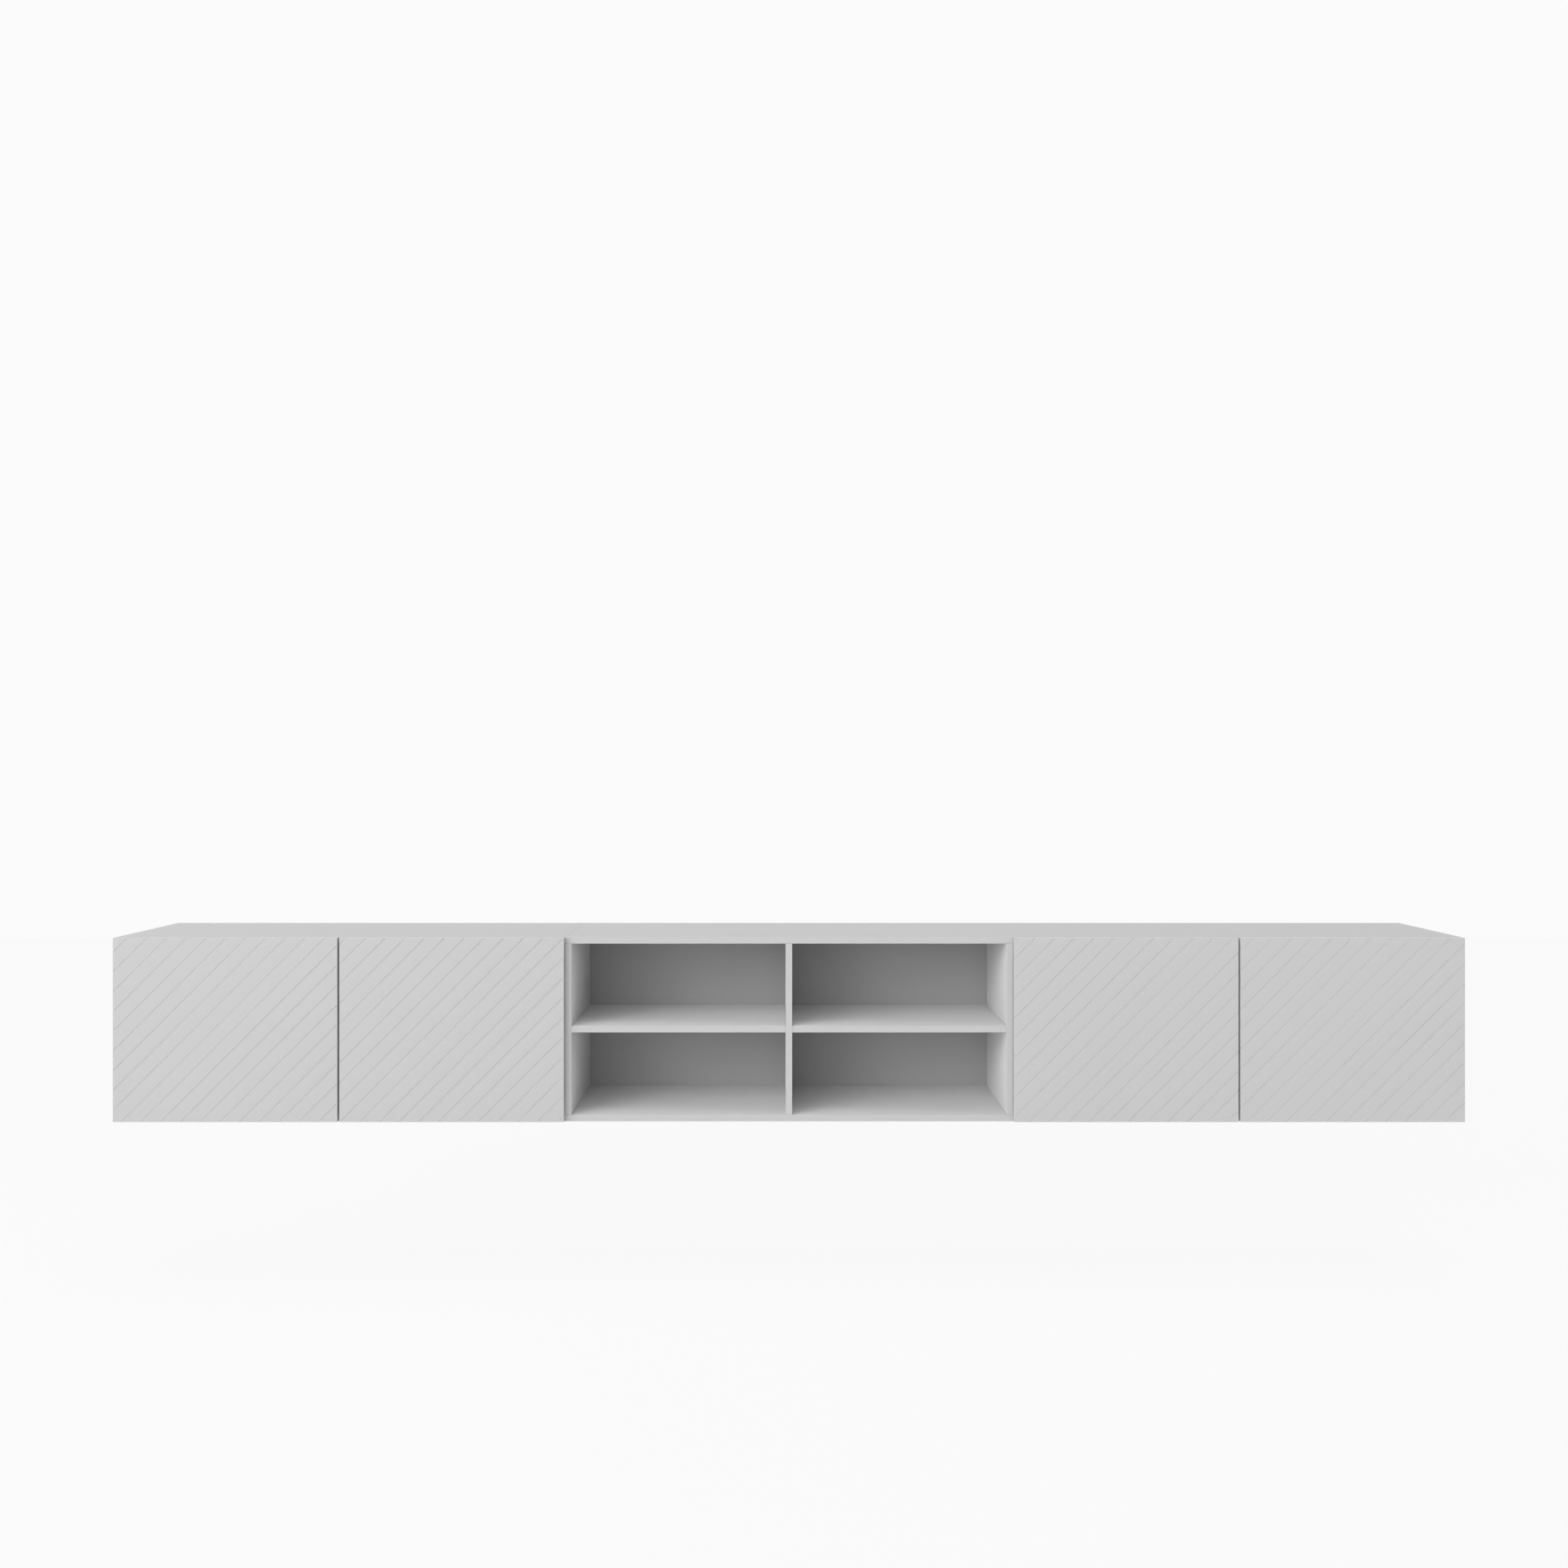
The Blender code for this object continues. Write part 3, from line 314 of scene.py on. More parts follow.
def own_planes(mesh):
    """A board's lowest and highest planes on each axis, those with the most area, so dowels don't count."""
    planes = []
    for axis in range(3):
        for sign in (-1.0, 1.0):
            areas = {}
            for face in mesh.faces:
                if face.normal[axis] * sign > FACING:
                    level = round(face.calc_center_median()[axis], 5)
                    areas[level] = areas.get(level, 0.0) + face.calc_area()
            planes.append(max(areas, key=areas.get))
    return Vector(planes[0::2]), Vector(planes[1::2])


def flattened(mesh):
    """The mesh with its level triangles merged into flat faces."""
    bmesh.ops.dissolve_limit(mesh, angle_limit=FLAT_WITHIN, verts=mesh.verts, edges=mesh.edges)
    return mesh


def node_mesh(node):
    """A CAD node's shape in flat faces."""
    mesh = bmesh.new()
    mesh.from_mesh(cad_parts[node].data)
    bmesh.ops.remove_doubles(mesh, verts=mesh.verts, dist=MERGED_WITHIN)
    return flattened(mesh)


def planes_touched(point, low, high):
    """How many of a board's own planes a point lies on."""
    return sum(abs(point[i] - level) < ON_PLANE_WITHIN for i in range(3) for level in (low[i], high[i]))


def rounded(mesh, edges, width, segments=2):
    """Rounds some edges of a mesh, and gives the new faces."""
    return bmesh.ops.bevel(mesh, geom=edges, offset=width, offset_type="OFFSET", segments=segments,
                           profile=0.5, affect="EDGES", clamp_overlap=False)["faces"]


def new_piece(name, mesh, finishes, body, replaced=None):
    """A finished mesh as a piece that rides on a body, and stands for a CAD node if one is named."""
    piece = as_object(name, mesh)
    for finish in finishes:
        piece.data.materials.append(finish)
    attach(piece, body)
    if replaced:
        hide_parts(replaced)


def new_tree(name, **inputs):
    """A geometry node tree and its inputs: the geometry, the finish and those named here by their kind."""
    tree = bpy.data.node_groups.new(name, "GeometryNodeTree")
    for kind, sockets in {"Geometry": ["Geometry"], **inputs, "Material": ["Finish"]}.items():
        for socket in sockets:
            tree.interface.new_socket(socket, in_out="INPUT", socket_type="NodeSocket" + kind)
    tree.interface.new_socket("Geometry", in_out="OUTPUT", socket_type="NodeSocketGeometry")
    return tree, add(tree, "NodeGroupInput").outputs


def row_of_points(tree, count, first, axis, spacing):
    """Points in a straight row along an axis."""
    step = add(tree, "ShaderNodeCombineXYZ", {axis: spacing})
    return add(tree, "GeometryNodeMeshLine", {"Count": count, "Start Location": first, "Offset": step},
               mode="OFFSET")


def round_cutters(tree, points, radius, length, sides, turn):
    """A round cutter with its middle on each point, turned from Z."""
    cutter = add(tree, "GeometryNodeMeshCylinder", {"Vertices": sides, "Radius": radius, "Depth": length})
    lying = add(tree, "GeometryNodeTransform", {"Geometry": cutter, "Rotation": turn})
    return add(tree, "GeometryNodeInstanceOnPoints", {"Points": points, "Instance": lying})


def ended(tree, given, shape):
    """The tree with its end: the shape as a real mesh in the finish that the tree is given."""
    real = add(tree, "GeometryNodeRealizeInstances", {"Geometry": shape})
    faced = add(tree, "GeometryNodeSetMaterial", {"Geometry": real, "Material": given["Finish"]})
    add(tree, "NodeGroupOutput", {"Geometry": faced})
    return tree


def cut_and_ended(tree, given, cutters):
    """The tree with its end: what it is given, less the cutters."""
    real = add(tree, "GeometryNodeRealizeInstances", {"Geometry": cutters})
    cut = add(tree, "GeometryNodeMeshBoolean", {"Mesh 1": given["Geometry"], "Mesh 2": real},
              operation="DIFFERENCE", solver="EXACT")
    return ended(tree, given, cut)


def evaluated(source):
    """What an object's modifiers make of it, as a plain mesh. The object is used up."""
    bpy.context.view_layer.update()
    data = bpy.data.meshes.new_from_object(source.evaluated_get(bpy.context.evaluated_depsgraph_get()))
    bpy.data.objects.remove(source, do_unlink=True)
    mesh = bmesh.new()
    mesh.from_mesh(data)
    bpy.data.meshes.remove(data)
    return mesh


def grown(tree, mesh, values):
    """The plain mesh that a node tree makes out of a mesh, with these values for its inputs."""
    source = as_object(tree.name, mesh)
    modifier = source.modifiers.new(tree.name, "NODES")
    modifier.node_group = tree
    for item in tree.interface.items_tree:
        if item.in_out == "INPUT" and item.name in values:
            modifier[item.identifier] = values[item.name]
    return evaluated(source)


def pin_hole_tree():
    """Bores two rows of blind holes along X, but none in the middle of a row, where the shelf pin sits."""
    tree, given = new_tree("shelf_pin_holes", Int=["Holes"], Vector=["First Hole"],
                           Float=["Hole Spacing", "Row Spacing", "Hole Radius", "Cutter Length"])
    row = row_of_points(tree, given["Holes"], given["First Hole"], "Z", given["Hole Spacing"])
    last = add(tree, "ShaderNodeMath", {0: given["Holes"], 1: 1.0}, operation="SUBTRACT")
    middle = add(tree, "ShaderNodeMath", {0: last, 1: 2.0}, operation="DIVIDE")
    index = add(tree, "GeometryNodeInputIndex")
    with_pin = add(tree, "FunctionNodeCompare", {"A": index, "B": middle, "Epsilon": 0.1}, data_type="FLOAT",
                   operation="EQUAL")
    free = add(tree, "GeometryNodeDeleteGeometry", {"Geometry": row, "Selection": with_pin})
    inwards = add(tree, "ShaderNodeCombineXYZ", {"Y": given["Row Spacing"]})
    second = add(tree, "GeometryNodeTransform", {"Geometry": free, "Translation": inwards})
    both = add(tree, "GeometryNodeJoinGeometry", {"Geometry": [free, second]})
    drills = round_cutters(tree, both, given["Hole Radius"], given["Cutter Length"], PIN_HOLE_SIDES,
                           (0.0, QUARTER_TURN, 0.0))
    return cut_and_ended(tree, given, drills)


PIN_HOLE_TREE = pin_hole_tree()


def bored(mesh, node, low, high):
    """A side of a door module with its rows of holes for the pins of the loose shelf."""
    shelf_low, shelf_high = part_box(node.split("_")[0] + "_loose_shelf")
    inner_face = high.x if shelf_low.x > low.x else low.x
    lowest = shelf_low.z - PIN_BELOW_SHELF - PIN_HOLE_SPACING * (PIN_HOLES - 1) / 2
    return grown(PIN_HOLE_TREE, mesh, {
        "Holes": PIN_HOLES, "Hole Spacing": PIN_HOLE_SPACING, "Hole Radius": PIN_HOLE_DIAMETER / 2,
        "Cutter Length": 2 * PIN_HOLE_DEPTH, "Finish": MELAMINE,
        "First Hole": Vector((inner_face, shelf_low.y + PIN_FROM_SHELF_EDGE, lowest)),
        "Row Spacing": shelf_high.y - shelf_low.y - 2 * PIN_FROM_SHELF_EDGE})


def is_inner(node, face):
    """Whether a board's face looks into its module. Dividers and shelves are inside on both faces."""
    if not node.endswith(("_panel", "_side")):
        return True
    low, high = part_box(node.split("_")[0] + "_back_panel")
    return ((low + high) / 2 - face.calc_center_median()).dot(face.normal) > 0.0


def faced_board(node):
    """A board with broken arrises, its faces sorted into melamine, edge band, raw edge, dowels and pins."""
    mesh = node_mesh(node)
    low, high = own_planes(mesh)
    size = high - low
    thin = min(range(3), key=lambda axis: size[axis])
    corners = [edge for edge in mesh.edges if all(planes_touched(v.co, low, high) >= 2 for v in edge.verts)]
    arrises = rounded(mesh, corners, ARRIS)
    for face in mesh.faces:
        face.smooth = face in arrises
    if node.endswith(("inner_side", "outer_side")):
        mesh = bored(mesh, node, low, high)
    for face in mesh.faces:
        centre = face.calc_center_median()
        outside = [axis for axis in range(3) if not low[axis] - ARRIS < centre[axis] < high[axis] + ARRIS]
        face.smooth = face.smooth or bool(outside)
        near_end = min(abs(centre.x - low.x), abs(centre.x - high.x)) < EDGE_ZONE
        if outside:
            finish = ZINC if outside == [X_AXIS] and thin == X_AXIS else BEECH
        elif abs(face.normal[thin]) > FACING and planes_touched(centre, low, high):
            finish = LINING if is_inner(node, face) else MELAMINE
        elif abs(centre.y - low.y) < EDGE_ZONE or (near_end and thin == Z_AXIS and size.x > size.y):
            finish = EDGE_BAND
        else:
            finish = CHIPBOARD
        face.material_index = BOARD_FINISHES.index(finish)
    new_piece(node + "_board", mesh, BOARD_FINISHES, "carcass", node)


for node in sorted(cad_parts):
    if node.endswith(("_top_panel", "_bottom_panel", "_side", "_divider", "_shelf")):
        faced_board(node)


# Back panels
# 3 mm hardboard, slid into grooves round the inside of each module: printed grey on the smooth side towards
# the front, a shade darker than the boards as painted shade for the back of the niches, and bare brown
# fibres towards the wall.
PAINTED_SHADE_BACK_GREYS = ("#C2C2C2", "#C5C5C5")
HARDBOARD_BROWNS = ("#7D5A3C", "#A17C56")
HARDBOARD_FIBRES = (350.0, 6.0)
FIBRE_ROUGHNESS = 0.7
FIBRE_CONTRAST = (0.5, 1.5)
HARDBOARD_PATCHES = (9.0, 4.0)
HARDBOARD_ROUGHNESS = 0.8
HARDBOARD_RELIEF = (0.4, 0.0002)


def bare_hardboard():
    """The rough side of hardboard: dark brown, with pressed fibres in lighter and darker patches."""
    material, fibres, patches = new_finish("bare_hardboard", HARDBOARD_FIBRES, HARDBOARD_PATCHES)
    tree = material.node_tree
    fibres.inputs["Roughness"].default_value = FIBRE_ROUGHNESS
    tones = add(tree, "ShaderNodeMath", {0: fibres, 1: patches}, operation="ADD")
    least, most = FIBRE_CONTRAST
    spread = add(tree, "ShaderNodeMapRange", {"Value": tones, "From Min": least, "From Max": most})
    return finished(material, (spread, *HARDBOARD_BROWNS), HARDBOARD_ROUGHNESS, (fibres, *HARDBOARD_RELIEF))


HARDBOARD = bare_hardboard()
# The printed face is a little darker than the boards: painted shade at the back of the niches
BACK_FACE = grey_melamine("grey_printed_hardboard_painted_shade", PAINTED_SHADE_BACK_GREYS, LINING_ROUGHNESS, EVENLY_MATT)
for module in ("left", "middle", "right"):
    node = module + "_back_panel"
    mesh = node_mesh(node)
    for face in mesh.faces:
        face.material_index = 0 if face.normal.y < -FACING else 1
    new_piece(node + "_sheet", mesh, (BACK_FACE, HARDBOARD), "carcass", node)


# Wall rail
# One length of 2 mm zinc-plated steel, roll-formed so that its lip stands off the wall, and punched with a
# row of round holes for the wall screws. It carries the whole cabinet.
RAIL_SHEET = 0.002
RAIL_FLAT = 0.041
RAIL_BEND = 0.0015
RAIL_HOLE_DIAMETER = 0.007
RAIL_HOLE_FROM_END = 0.060
RAIL_HOLES = 10
RAIL_HOLE_SIDES = 32
BEND_STEPS = 6
# Faces under this area count as bends and turnings, and edges over this angle as sharp
BEND_AREA = 0.0001
SHARP_ANGLE = math.radians(35.0)


def folded(path, sheet, radius):
    """Both faces of sheet metal folded along a flat path, as one closed outline with round bends."""
    points = [Vector(point) for point in path]
    spine = [(points[0], (points[1] - points[0]).normalized())]
    for before, corner, after in zip(points, points[1:], points[2:]):
        along = (corner - before).normalized()
        onward = (after - corner).normalized()
        turn = math.atan2(along.x * onward.y - along.y * onward.x, along.dot(onward))
        start = corner - along * radius * math.tan(abs(turn) / 2)
        centre = start + Vector((-along.y, along.x)) * math.copysign(radius, turn)
        for step in range(BEND_STEPS + 1):
            part = Matrix.Rotation(turn * step / BEND_STEPS, 2)
            spine.append((centre + part @ (start - centre), part @ along))
    spine.append((points[-1], (points[-1] - points[-2]).normalized()))
    faces = [[point + Vector((-way.y, way.x)) * side * sheet / 2 for point, way in spine]
             for side in (1.0, -1.0)]
    return faces[0] + faces[1][::-1]


def prism(outline, length, place):
    """A flat outline drawn out to a length, halfway to each side, and then set in its place."""
    mesh = bmesh.new()
    base = mesh.faces.new([mesh.verts.new((*point, -length / 2)) for point in outline])
    drawn = bmesh.ops.extrude_face_region(mesh, geom=[base])["geom"]
    moved = [part for part in drawn if isinstance(part, bmesh.types.BMVert)]
    bmesh.ops.translate(mesh, verts=moved, vec=(0.0, 0.0, length))
    bmesh.ops.transform(mesh, matrix=place, verts=mesh.verts)
    bmesh.ops.recalc_face_normals(mesh, faces=mesh.faces)
    return mesh


def shaded(mesh):
    """Smooth over bends and turnings, flat on large faces and sharp at corners."""
    for face in mesh.faces:
        face.smooth = len(face.verts) <= 4 and face.calc_area() < BEND_AREA
    for edge in mesh.edges:
        edge.smooth = len(edge.link_faces) != 2 or edge.calc_face_angle() < SHARP_ANGLE
    return mesh


def punched_rail_tree():
    """Punches a row of round holes through a sheet that stands upright along X."""
    tree, given = new_tree("punched_rail", Int=["Holes"], Vector=["First Hole"],
                           Float=["Hole Spacing", "Hole Radius", "Cutter Length"])
    row = row_of_points(tree, given["Holes"], given["First Hole"], "X", given["Hole Spacing"])
    punches = round_cutters(tree, row, given["Hole Radius"], given["Cutter Length"], RAIL_HOLE_SIDES,
                            (QUARTER_TURN, 0.0, 0.0))
    return cut_and_ended(tree, given, punches)


# Turns an outline drawn in Y and Z so that its drawn length runs along X
YZ_ALONG_X = Matrix(((0.0, 0.0, 1.0), (1.0, 0.0, 0.0), (0.0, 1.0, 0.0))).to_4x4()
rail_low, rail_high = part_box("wall_rail")
on_wall = rail_high.y - RAIL_SHEET / 2
off_wall = rail_low.y + RAIL_SHEET / 2
rail_step = rail_low.z + RAIL_FLAT
rail_path = ((on_wall, rail_low.z), (on_wall, rail_step), (off_wall, rail_step), (off_wall, rail_high.z))
rail_place = Matrix.Translation(((rail_low.x + rail_high.x) / 2, 0.0, 0.0)) @ YZ_ALONG_X
rail_mesh = prism(folded(rail_path, RAIL_SHEET, RAIL_BEND), rail_high.x - rail_low.x, rail_place)
hole_run = rail_high.x - rail_low.x - 2 * RAIL_HOLE_FROM_END
hole_height = rail_low.z + (RAIL_FLAT - RAIL_SHEET / 2) / 2
rail_mesh = grown(punched_rail_tree(), rail_mesh, {
    "Holes": RAIL_HOLES, "Hole Spacing": hole_run / (RAIL_HOLES - 1), "Hole Radius": RAIL_HOLE_DIAMETER / 2,
    "First Hole": Vector((rail_low.x + RAIL_HOLE_FROM_END, on_wall, hole_height)),
    "Cutter Length": 3 * RAIL_SHEET, "Finish": ZINC})
new_piece("wall_rail_punched", shaded(rail_mesh), (ZINC,), "carcass", "wall_rail")


# Hanging rails
# 1.8 mm zinc-plated steel, folded down behind the wall rail's lip. A flange at each end is screwed to a
# side, so each module hangs by both of its sides.
HANGER_SHEET = 0.0018
HANGER_PLAY = 0.0004
FLANGE_REACH = 0.012
FLANGE_HEIGHT = 0.032
FLANGE_CORNER = 0.003
FLANGE_SCREW_SPACING = 0.016
FITTING_GAP = 0.0003
SCREW_LENGTH = 0.011
CORNER_STEPS = 5
# The point under each screw's head and the way that it faces, for each body
screw_points = {"carcass": [], "door_1": [], "door_2": [], "door_3": [], "door_4": []}


def rounded_plate(width, height, corner, sheet, place):
    """A flat plate with round corners, set in its place."""
    outline = []
    for quarter, (across, up) in enumerate(((1, 1), (-1, 1), (-1, -1), (1, -1))):
        centre = Vector((across * (width / 2 - corner), up * (height / 2 - corner)))
        for step in range(CORNER_STEPS + 1):
            angle = math.radians(90.0 * (quarter + step / CORNER_STEPS))
            outline.append(centre + corner * Vector((math.cos(angle), math.sin(angle))))
    return prism(outline, sheet, place)


def combined(mesh, operation, other):
    """A mesh joined with another one or cut by it. Both are used up."""
    base = as_object("part", mesh)
    tool = as_object("part", other)
    modifier = base.modifiers.new("combined", "BOOLEAN")
    modifier.operation = operation
    modifier.solver = "EXACT"
    modifier.object = tool
    result = evaluated(base)
    bpy.data.objects.remove(tool, do_unlink=True)
    return result


hanger_front = rail_low.y - HANGER_PLAY - HANGER_SHEET / 2
hanger_rear = rail_low.y + RAIL_SHEET + HANGER_PLAY + HANGER_SHEET / 2
hanger_top = rail_high.z + HANGER_PLAY + HANGER_SHEET / 2
hanger_tip = rail_step + RAIL_SHEET / 2 + HANGER_PLAY
for module in ("left", "middle", "right"):
    node = module + "_hanging_rail"
    low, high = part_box(node)
    path = ((hanger_front, low.z), (hanger_front, hanger_top), (hanger_rear, hanger_top),
            (hanger_rear, hanger_tip))
    middle = Matrix.Translation(((low.x + high.x) / 2, 0.0, 0.0))
    span = high.x - low.x - 2 * (SCREW_LENGTH + FITTING_GAP)
    mesh = prism(folded(path, HANGER_SHEET, HANGER_SHEET), span, middle @ YZ_ALONG_X)
    for side in (-1.0, 1.0):
        flange = Vector((middle.translation.x + side * (span - HANGER_SHEET) / 2, high.y - FLANGE_REACH / 2,
                         high.z - FLANGE_HEIGHT / 2))
        plate = rounded_plate(FLANGE_REACH, FLANGE_HEIGHT, FLANGE_CORNER, HANGER_SHEET,
                              Matrix.Translation(flange) @ YZ_ALONG_X)
        mesh = combined(mesh, "UNION", plate)
        for up in (-1.0, 1.0):
            head = flange + Vector((-side * HANGER_SHEET / 2, 0.0, up * FLANGE_SCREW_SPACING / 2))
            screw_points["carcass"].append((head, Vector((-side, 0.0, 0.0))))
    new_piece(node + "_folded", shaded(mesh), (ZINC,), "carcass", node)


# Doors
# 16 mm fibreboard, milled with wide V-grooves at 45 degrees that nearly run on across the pair, edges eased,
# and sprayed with a matt grey lacquer on all sides. The bores for the hinge cups are cut afterwards, bare.
DOOR_THICKNESS = 0.016
DOOR_ARRIS = 0.0004
GROOVE_WIDTH = 0.0032
GROOVE_DEPTH = 0.0010
GROOVE_PITCH = 0.0482
GROOVE_TURN = math.radians(45.0)
# From each door's left edge to its first groove, along its top edge
FIRST_GROOVES = {"door_1": 0.0359, "door_2": 0.0172, "door_3": 0.0039, "door_4": 0.0307}
CUP_BORE_DIAMETER = 0.0356
CUP_BORE_DEPTH = 0.0128
CUP_SIDES = 64
BARE_BEHIND_FRONT = 0.002
BARE_BELOW_BACK = 0.0002
# Edges over these angles are eased, on doors and on fittings
DOOR_SHARP = math.radians(30.0)
FITTING_SHARP = math.radians(60.0)
LACQUER_GREYS = ("#CACACA", "#CDCDCD")
LACQUER_CLOUDS = (4.0, 2.0)
LACQUER_PEEL = (450.0, 1.0)
LACQUER_SHEEN = (0.46, 0.56)
LACQUER_RELIEF = (0.10, 0.0001)
FIBREBOARD_BROWNS = ("#9C7A55", "#B99A73")
FIBREBOARD_FELT = (1500.0, 4.0)
FIBREBOARD_ROUGHNESS = 0.9


def matt_lacquer():
    """Sprayed matt lacquer: even grey with the slight orange peel of a sprayed coat."""
    material, cloud, peel = new_finish("matt_grey_lacquer", LACQUER_CLOUDS, LACQUER_PEEL)
    return finished(material, (cloud, *LACQUER_GREYS), (peel, *LACQUER_SHEEN), (peel, *LACQUER_RELIEF),
                    {"Diffuse Roughness": EVENLY_MATT})


def bare_fibreboard():
    """Cut fibreboard: light brown, felt-like, darker where the cutter has warmed it."""
    material, felt = new_finish("bare_fibreboard", FIBREBOARD_FELT)
    return finished(material, (felt, *FIBREBOARD_BROWNS), FIBREBOARD_ROUGHNESS)


LACQUER = matt_lacquer()
FIBREBOARD = bare_fibreboard()


def grooved_door_tree():
    """Cuts V-grooves into a slab's front and two round bores into its back. Each groove is a square bar,
    turned onto its edge, flattened and laid at 45 degrees, on a row of points along the middle of the
    door's height."""
    tree, given = new_tree("grooved_door", Int=["Groove Count"], Vector=["First Groove", "First Bore"],
                           Float=["Groove Pitch", "Groove Width", "Groove Depth", "Groove Length",
                                  "Bore Spacing", "Bore Radius", "Cutter Length"])
    row = row_of_points(tree, given["Groove Count"], given["First Groove"], "X", given["Groove Pitch"])
    side = add(tree, "ShaderNodeMath", {0: given["Groove Width"], 1: math.sqrt(2.0)}, operation="DIVIDE")
    size = add(tree, "ShaderNodeCombineXYZ", {"X": given["Groove Length"], "Y": side, "Z": side})
    bar = add(tree, "GeometryNodeMeshCube", {"Size": size})
    on_edge = add(tree, "GeometryNodeTransform", {"Geometry": bar, "Rotation": (GROOVE_TURN, 0.0, 0.0)})
    slope = add(tree, "ShaderNodeMath", {0: given["Groove Depth"], 1: given["Groove Width"]},
                operation="DIVIDE")
    doubled = add(tree, "ShaderNodeMath", {0: slope, 1: 2.0}, operation="MULTIPLY")
    flat = add(tree, "ShaderNodeCombineXYZ", {"X": 1.0, "Y": doubled, "Z": 1.0})
    at_45 = add(tree, "GeometryNodeTransform", {"Geometry": on_edge, "Scale": flat,
                                                "Rotation": (0.0, -GROOVE_TURN, 0.0)})
    bars = add(tree, "GeometryNodeInstanceOnPoints", {"Points": row, "Instance": at_45})
    pair = row_of_points(tree, 2, given["First Bore"], "Z", given["Bore Spacing"])
    bores = round_cutters(tree, pair, given["Bore Radius"], given["Cutter Length"], CUP_SIDES,
                          (QUARTER_TURN, 0.0, 0.0))
    return cut_and_ended(tree, given, add(tree, "GeometryNodeJoinGeometry", {"Geometry": [bars, bores]}))


def slab(low, high):
    """A cuboid between two corners."""
    mesh = bmesh.new()
    place = Matrix.Translation((low + high) / 2) @ Matrix.Diagonal((*(high - low), 1.0))
    bmesh.ops.create_cube(mesh, size=1.0, matrix=place)
    return mesh


def eased(mesh, width, segments=2, sharp=FITTING_SHARP):
    """Rounds the sharp edges of a mesh, and shades the rounding smooth."""
    edges = [edge for edge in mesh.edges if len(edge.link_faces) == 2 and edge.calc_face_angle() > sharp]
    for face in rounded(mesh, edges, width, segments):
        face.smooth = True
    return mesh


DOOR_TREE = grooved_door_tree()
for door, first_groove in FIRST_GROOVES.items():
    low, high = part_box(door)
    high.y = low.y + DOOR_THICKNESS
    height = high.z - low.z
    cups = {level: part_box("%s_%s_hinge_cup" % (door, level)) for level in ("lower", "upper")}
    cup_x = (cups["lower"][0].x + cups["lower"][1].x) / 2
    cup_z = {level: (box[0].z + box[1].z) / 2 for level, box in cups.items()}
    mesh = grown(DOOR_TREE, slab(low, high), {
        "Groove Count": math.ceil((high.x - low.x + height) / GROOVE_PITCH),
        "Groove Pitch": GROOVE_PITCH, "Groove Width": GROOVE_WIDTH, "Groove Depth": GROOVE_DEPTH,
        "Groove Length": height * math.sqrt(2.0) + 4 * GROOVE_WIDTH,
        "First Groove": Vector((low.x + first_groove - height / 2, low.y, (low.z + high.z) / 2)),
        "First Bore": Vector((cup_x, high.y, cup_z["lower"])), "Bore Radius": CUP_BORE_DIAMETER / 2,
        "Bore Spacing": cup_z["upper"] - cup_z["lower"], "Cutter Length": 2 * CUP_BORE_DEPTH,
        "Finish": LACQUER})
    eased(flattened(mesh), DOOR_ARRIS, sharp=DOOR_SHARP)
    for vertex in mesh.verts:
        vertex.co = [min(max(vertex.co[i], low[i]), high[i]) for i in range(3)]
    for face in mesh.faces:
        centre = face.calc_center_median()
        near_cup = any(abs(centre.z - z) < CUP_BORE_DIAMETER / 2 for z in cup_z.values())
        in_bore = near_cup and abs(centre.x - cup_x) < CUP_BORE_DIAMETER / 2
        bare = in_bore and low.y + BARE_BEHIND_FRONT < centre.y < high.y - BARE_BELOW_BACK
        face.material_index = 1 if bare else 0
    new_piece(door + "_front", mesh, (LACQUER, FIBREBOARD), door, door)


# Hinge cups
# A 35 mm pot with a winged flange, deep-drawn from 0.8 mm steel and nickel-plated, pressed into its bore and
# held by two screws. Two ears inside it carry the hinge pin.
CUP_DIAMETER = 0.035
CUP_DEPTH = 0.0125
CUP_SHEET = 0.0008
CUP_LIP = 0.0012
CUP_FLANGE = 0.001
CUP_WINGS = Vector((0.018, 0.052))
CUP_WING_CORNER = 0.0065
CUP_WING_STEP = 0.00006
CUP_SCREW_SPACING = 0.042
EAR_INNER_FACE = 0.0054
EAR_SHEET = 0.002
EAR_RADIUS = 0.0024
EAR_ANGLES = range(0, 181, 15)
PIN_BORE_DIAMETER = 0.0026
PIN_BORE_SIDES = 16
PIN_BORE_RUN = 2.1
PIN_FROM_DOOR_BACK = 0.009
CUP_FROM_PIN = 0.0131
NICKEL_COLOURS = ("#D3CFC8", "#BDB8AF")
NICKEL_ROUGHNESS = 0.24
NICKEL_BLOTCHES = (1.0 / 0.015, 3.0)
NICKEL = plated_steel("nickel_plated_steel", NICKEL_COLOURS, NICKEL_ROUGHNESS, NICKEL_BLOTCHES)
# Turns a shape that is drawn facing up so that it faces into the cabinet
FACING_IN = Matrix.Rotation(-QUARTER_TURN, 4, "X")


def turned(profile, sides):
    """A solid of revolution round Z, from its radius at each height, with both ends on the axis."""
    mesh = bmesh.new()
    rings = []
    for radius, height in profile:
        turns = [2 * math.pi * step / sides for step in range(sides if radius else 1)]
        rings.append([mesh.verts.new((radius * math.cos(t), radius * math.sin(t), height)) for t in turns])
    for ring, following in zip(rings, rings[1:]):
        for step in range(sides):
            corners = [ring[step % len(ring)], ring[(step + 1) % len(ring)],
                       following[(step + 1) % len(following)], following[step % len(following)]]
            mesh.faces.new(list(dict.fromkeys(corners)))
    bmesh.ops.recalc_face_normals(mesh, faces=mesh.faces)
    return mesh


def round_bar(diameter, length, sides):
    """A cylinder along Z, about the origin."""
    radius, end = diameter / 2, length / 2
    return turned(((0.0, -end), (radius, -end), (radius, end), (0.0, end)), sides)


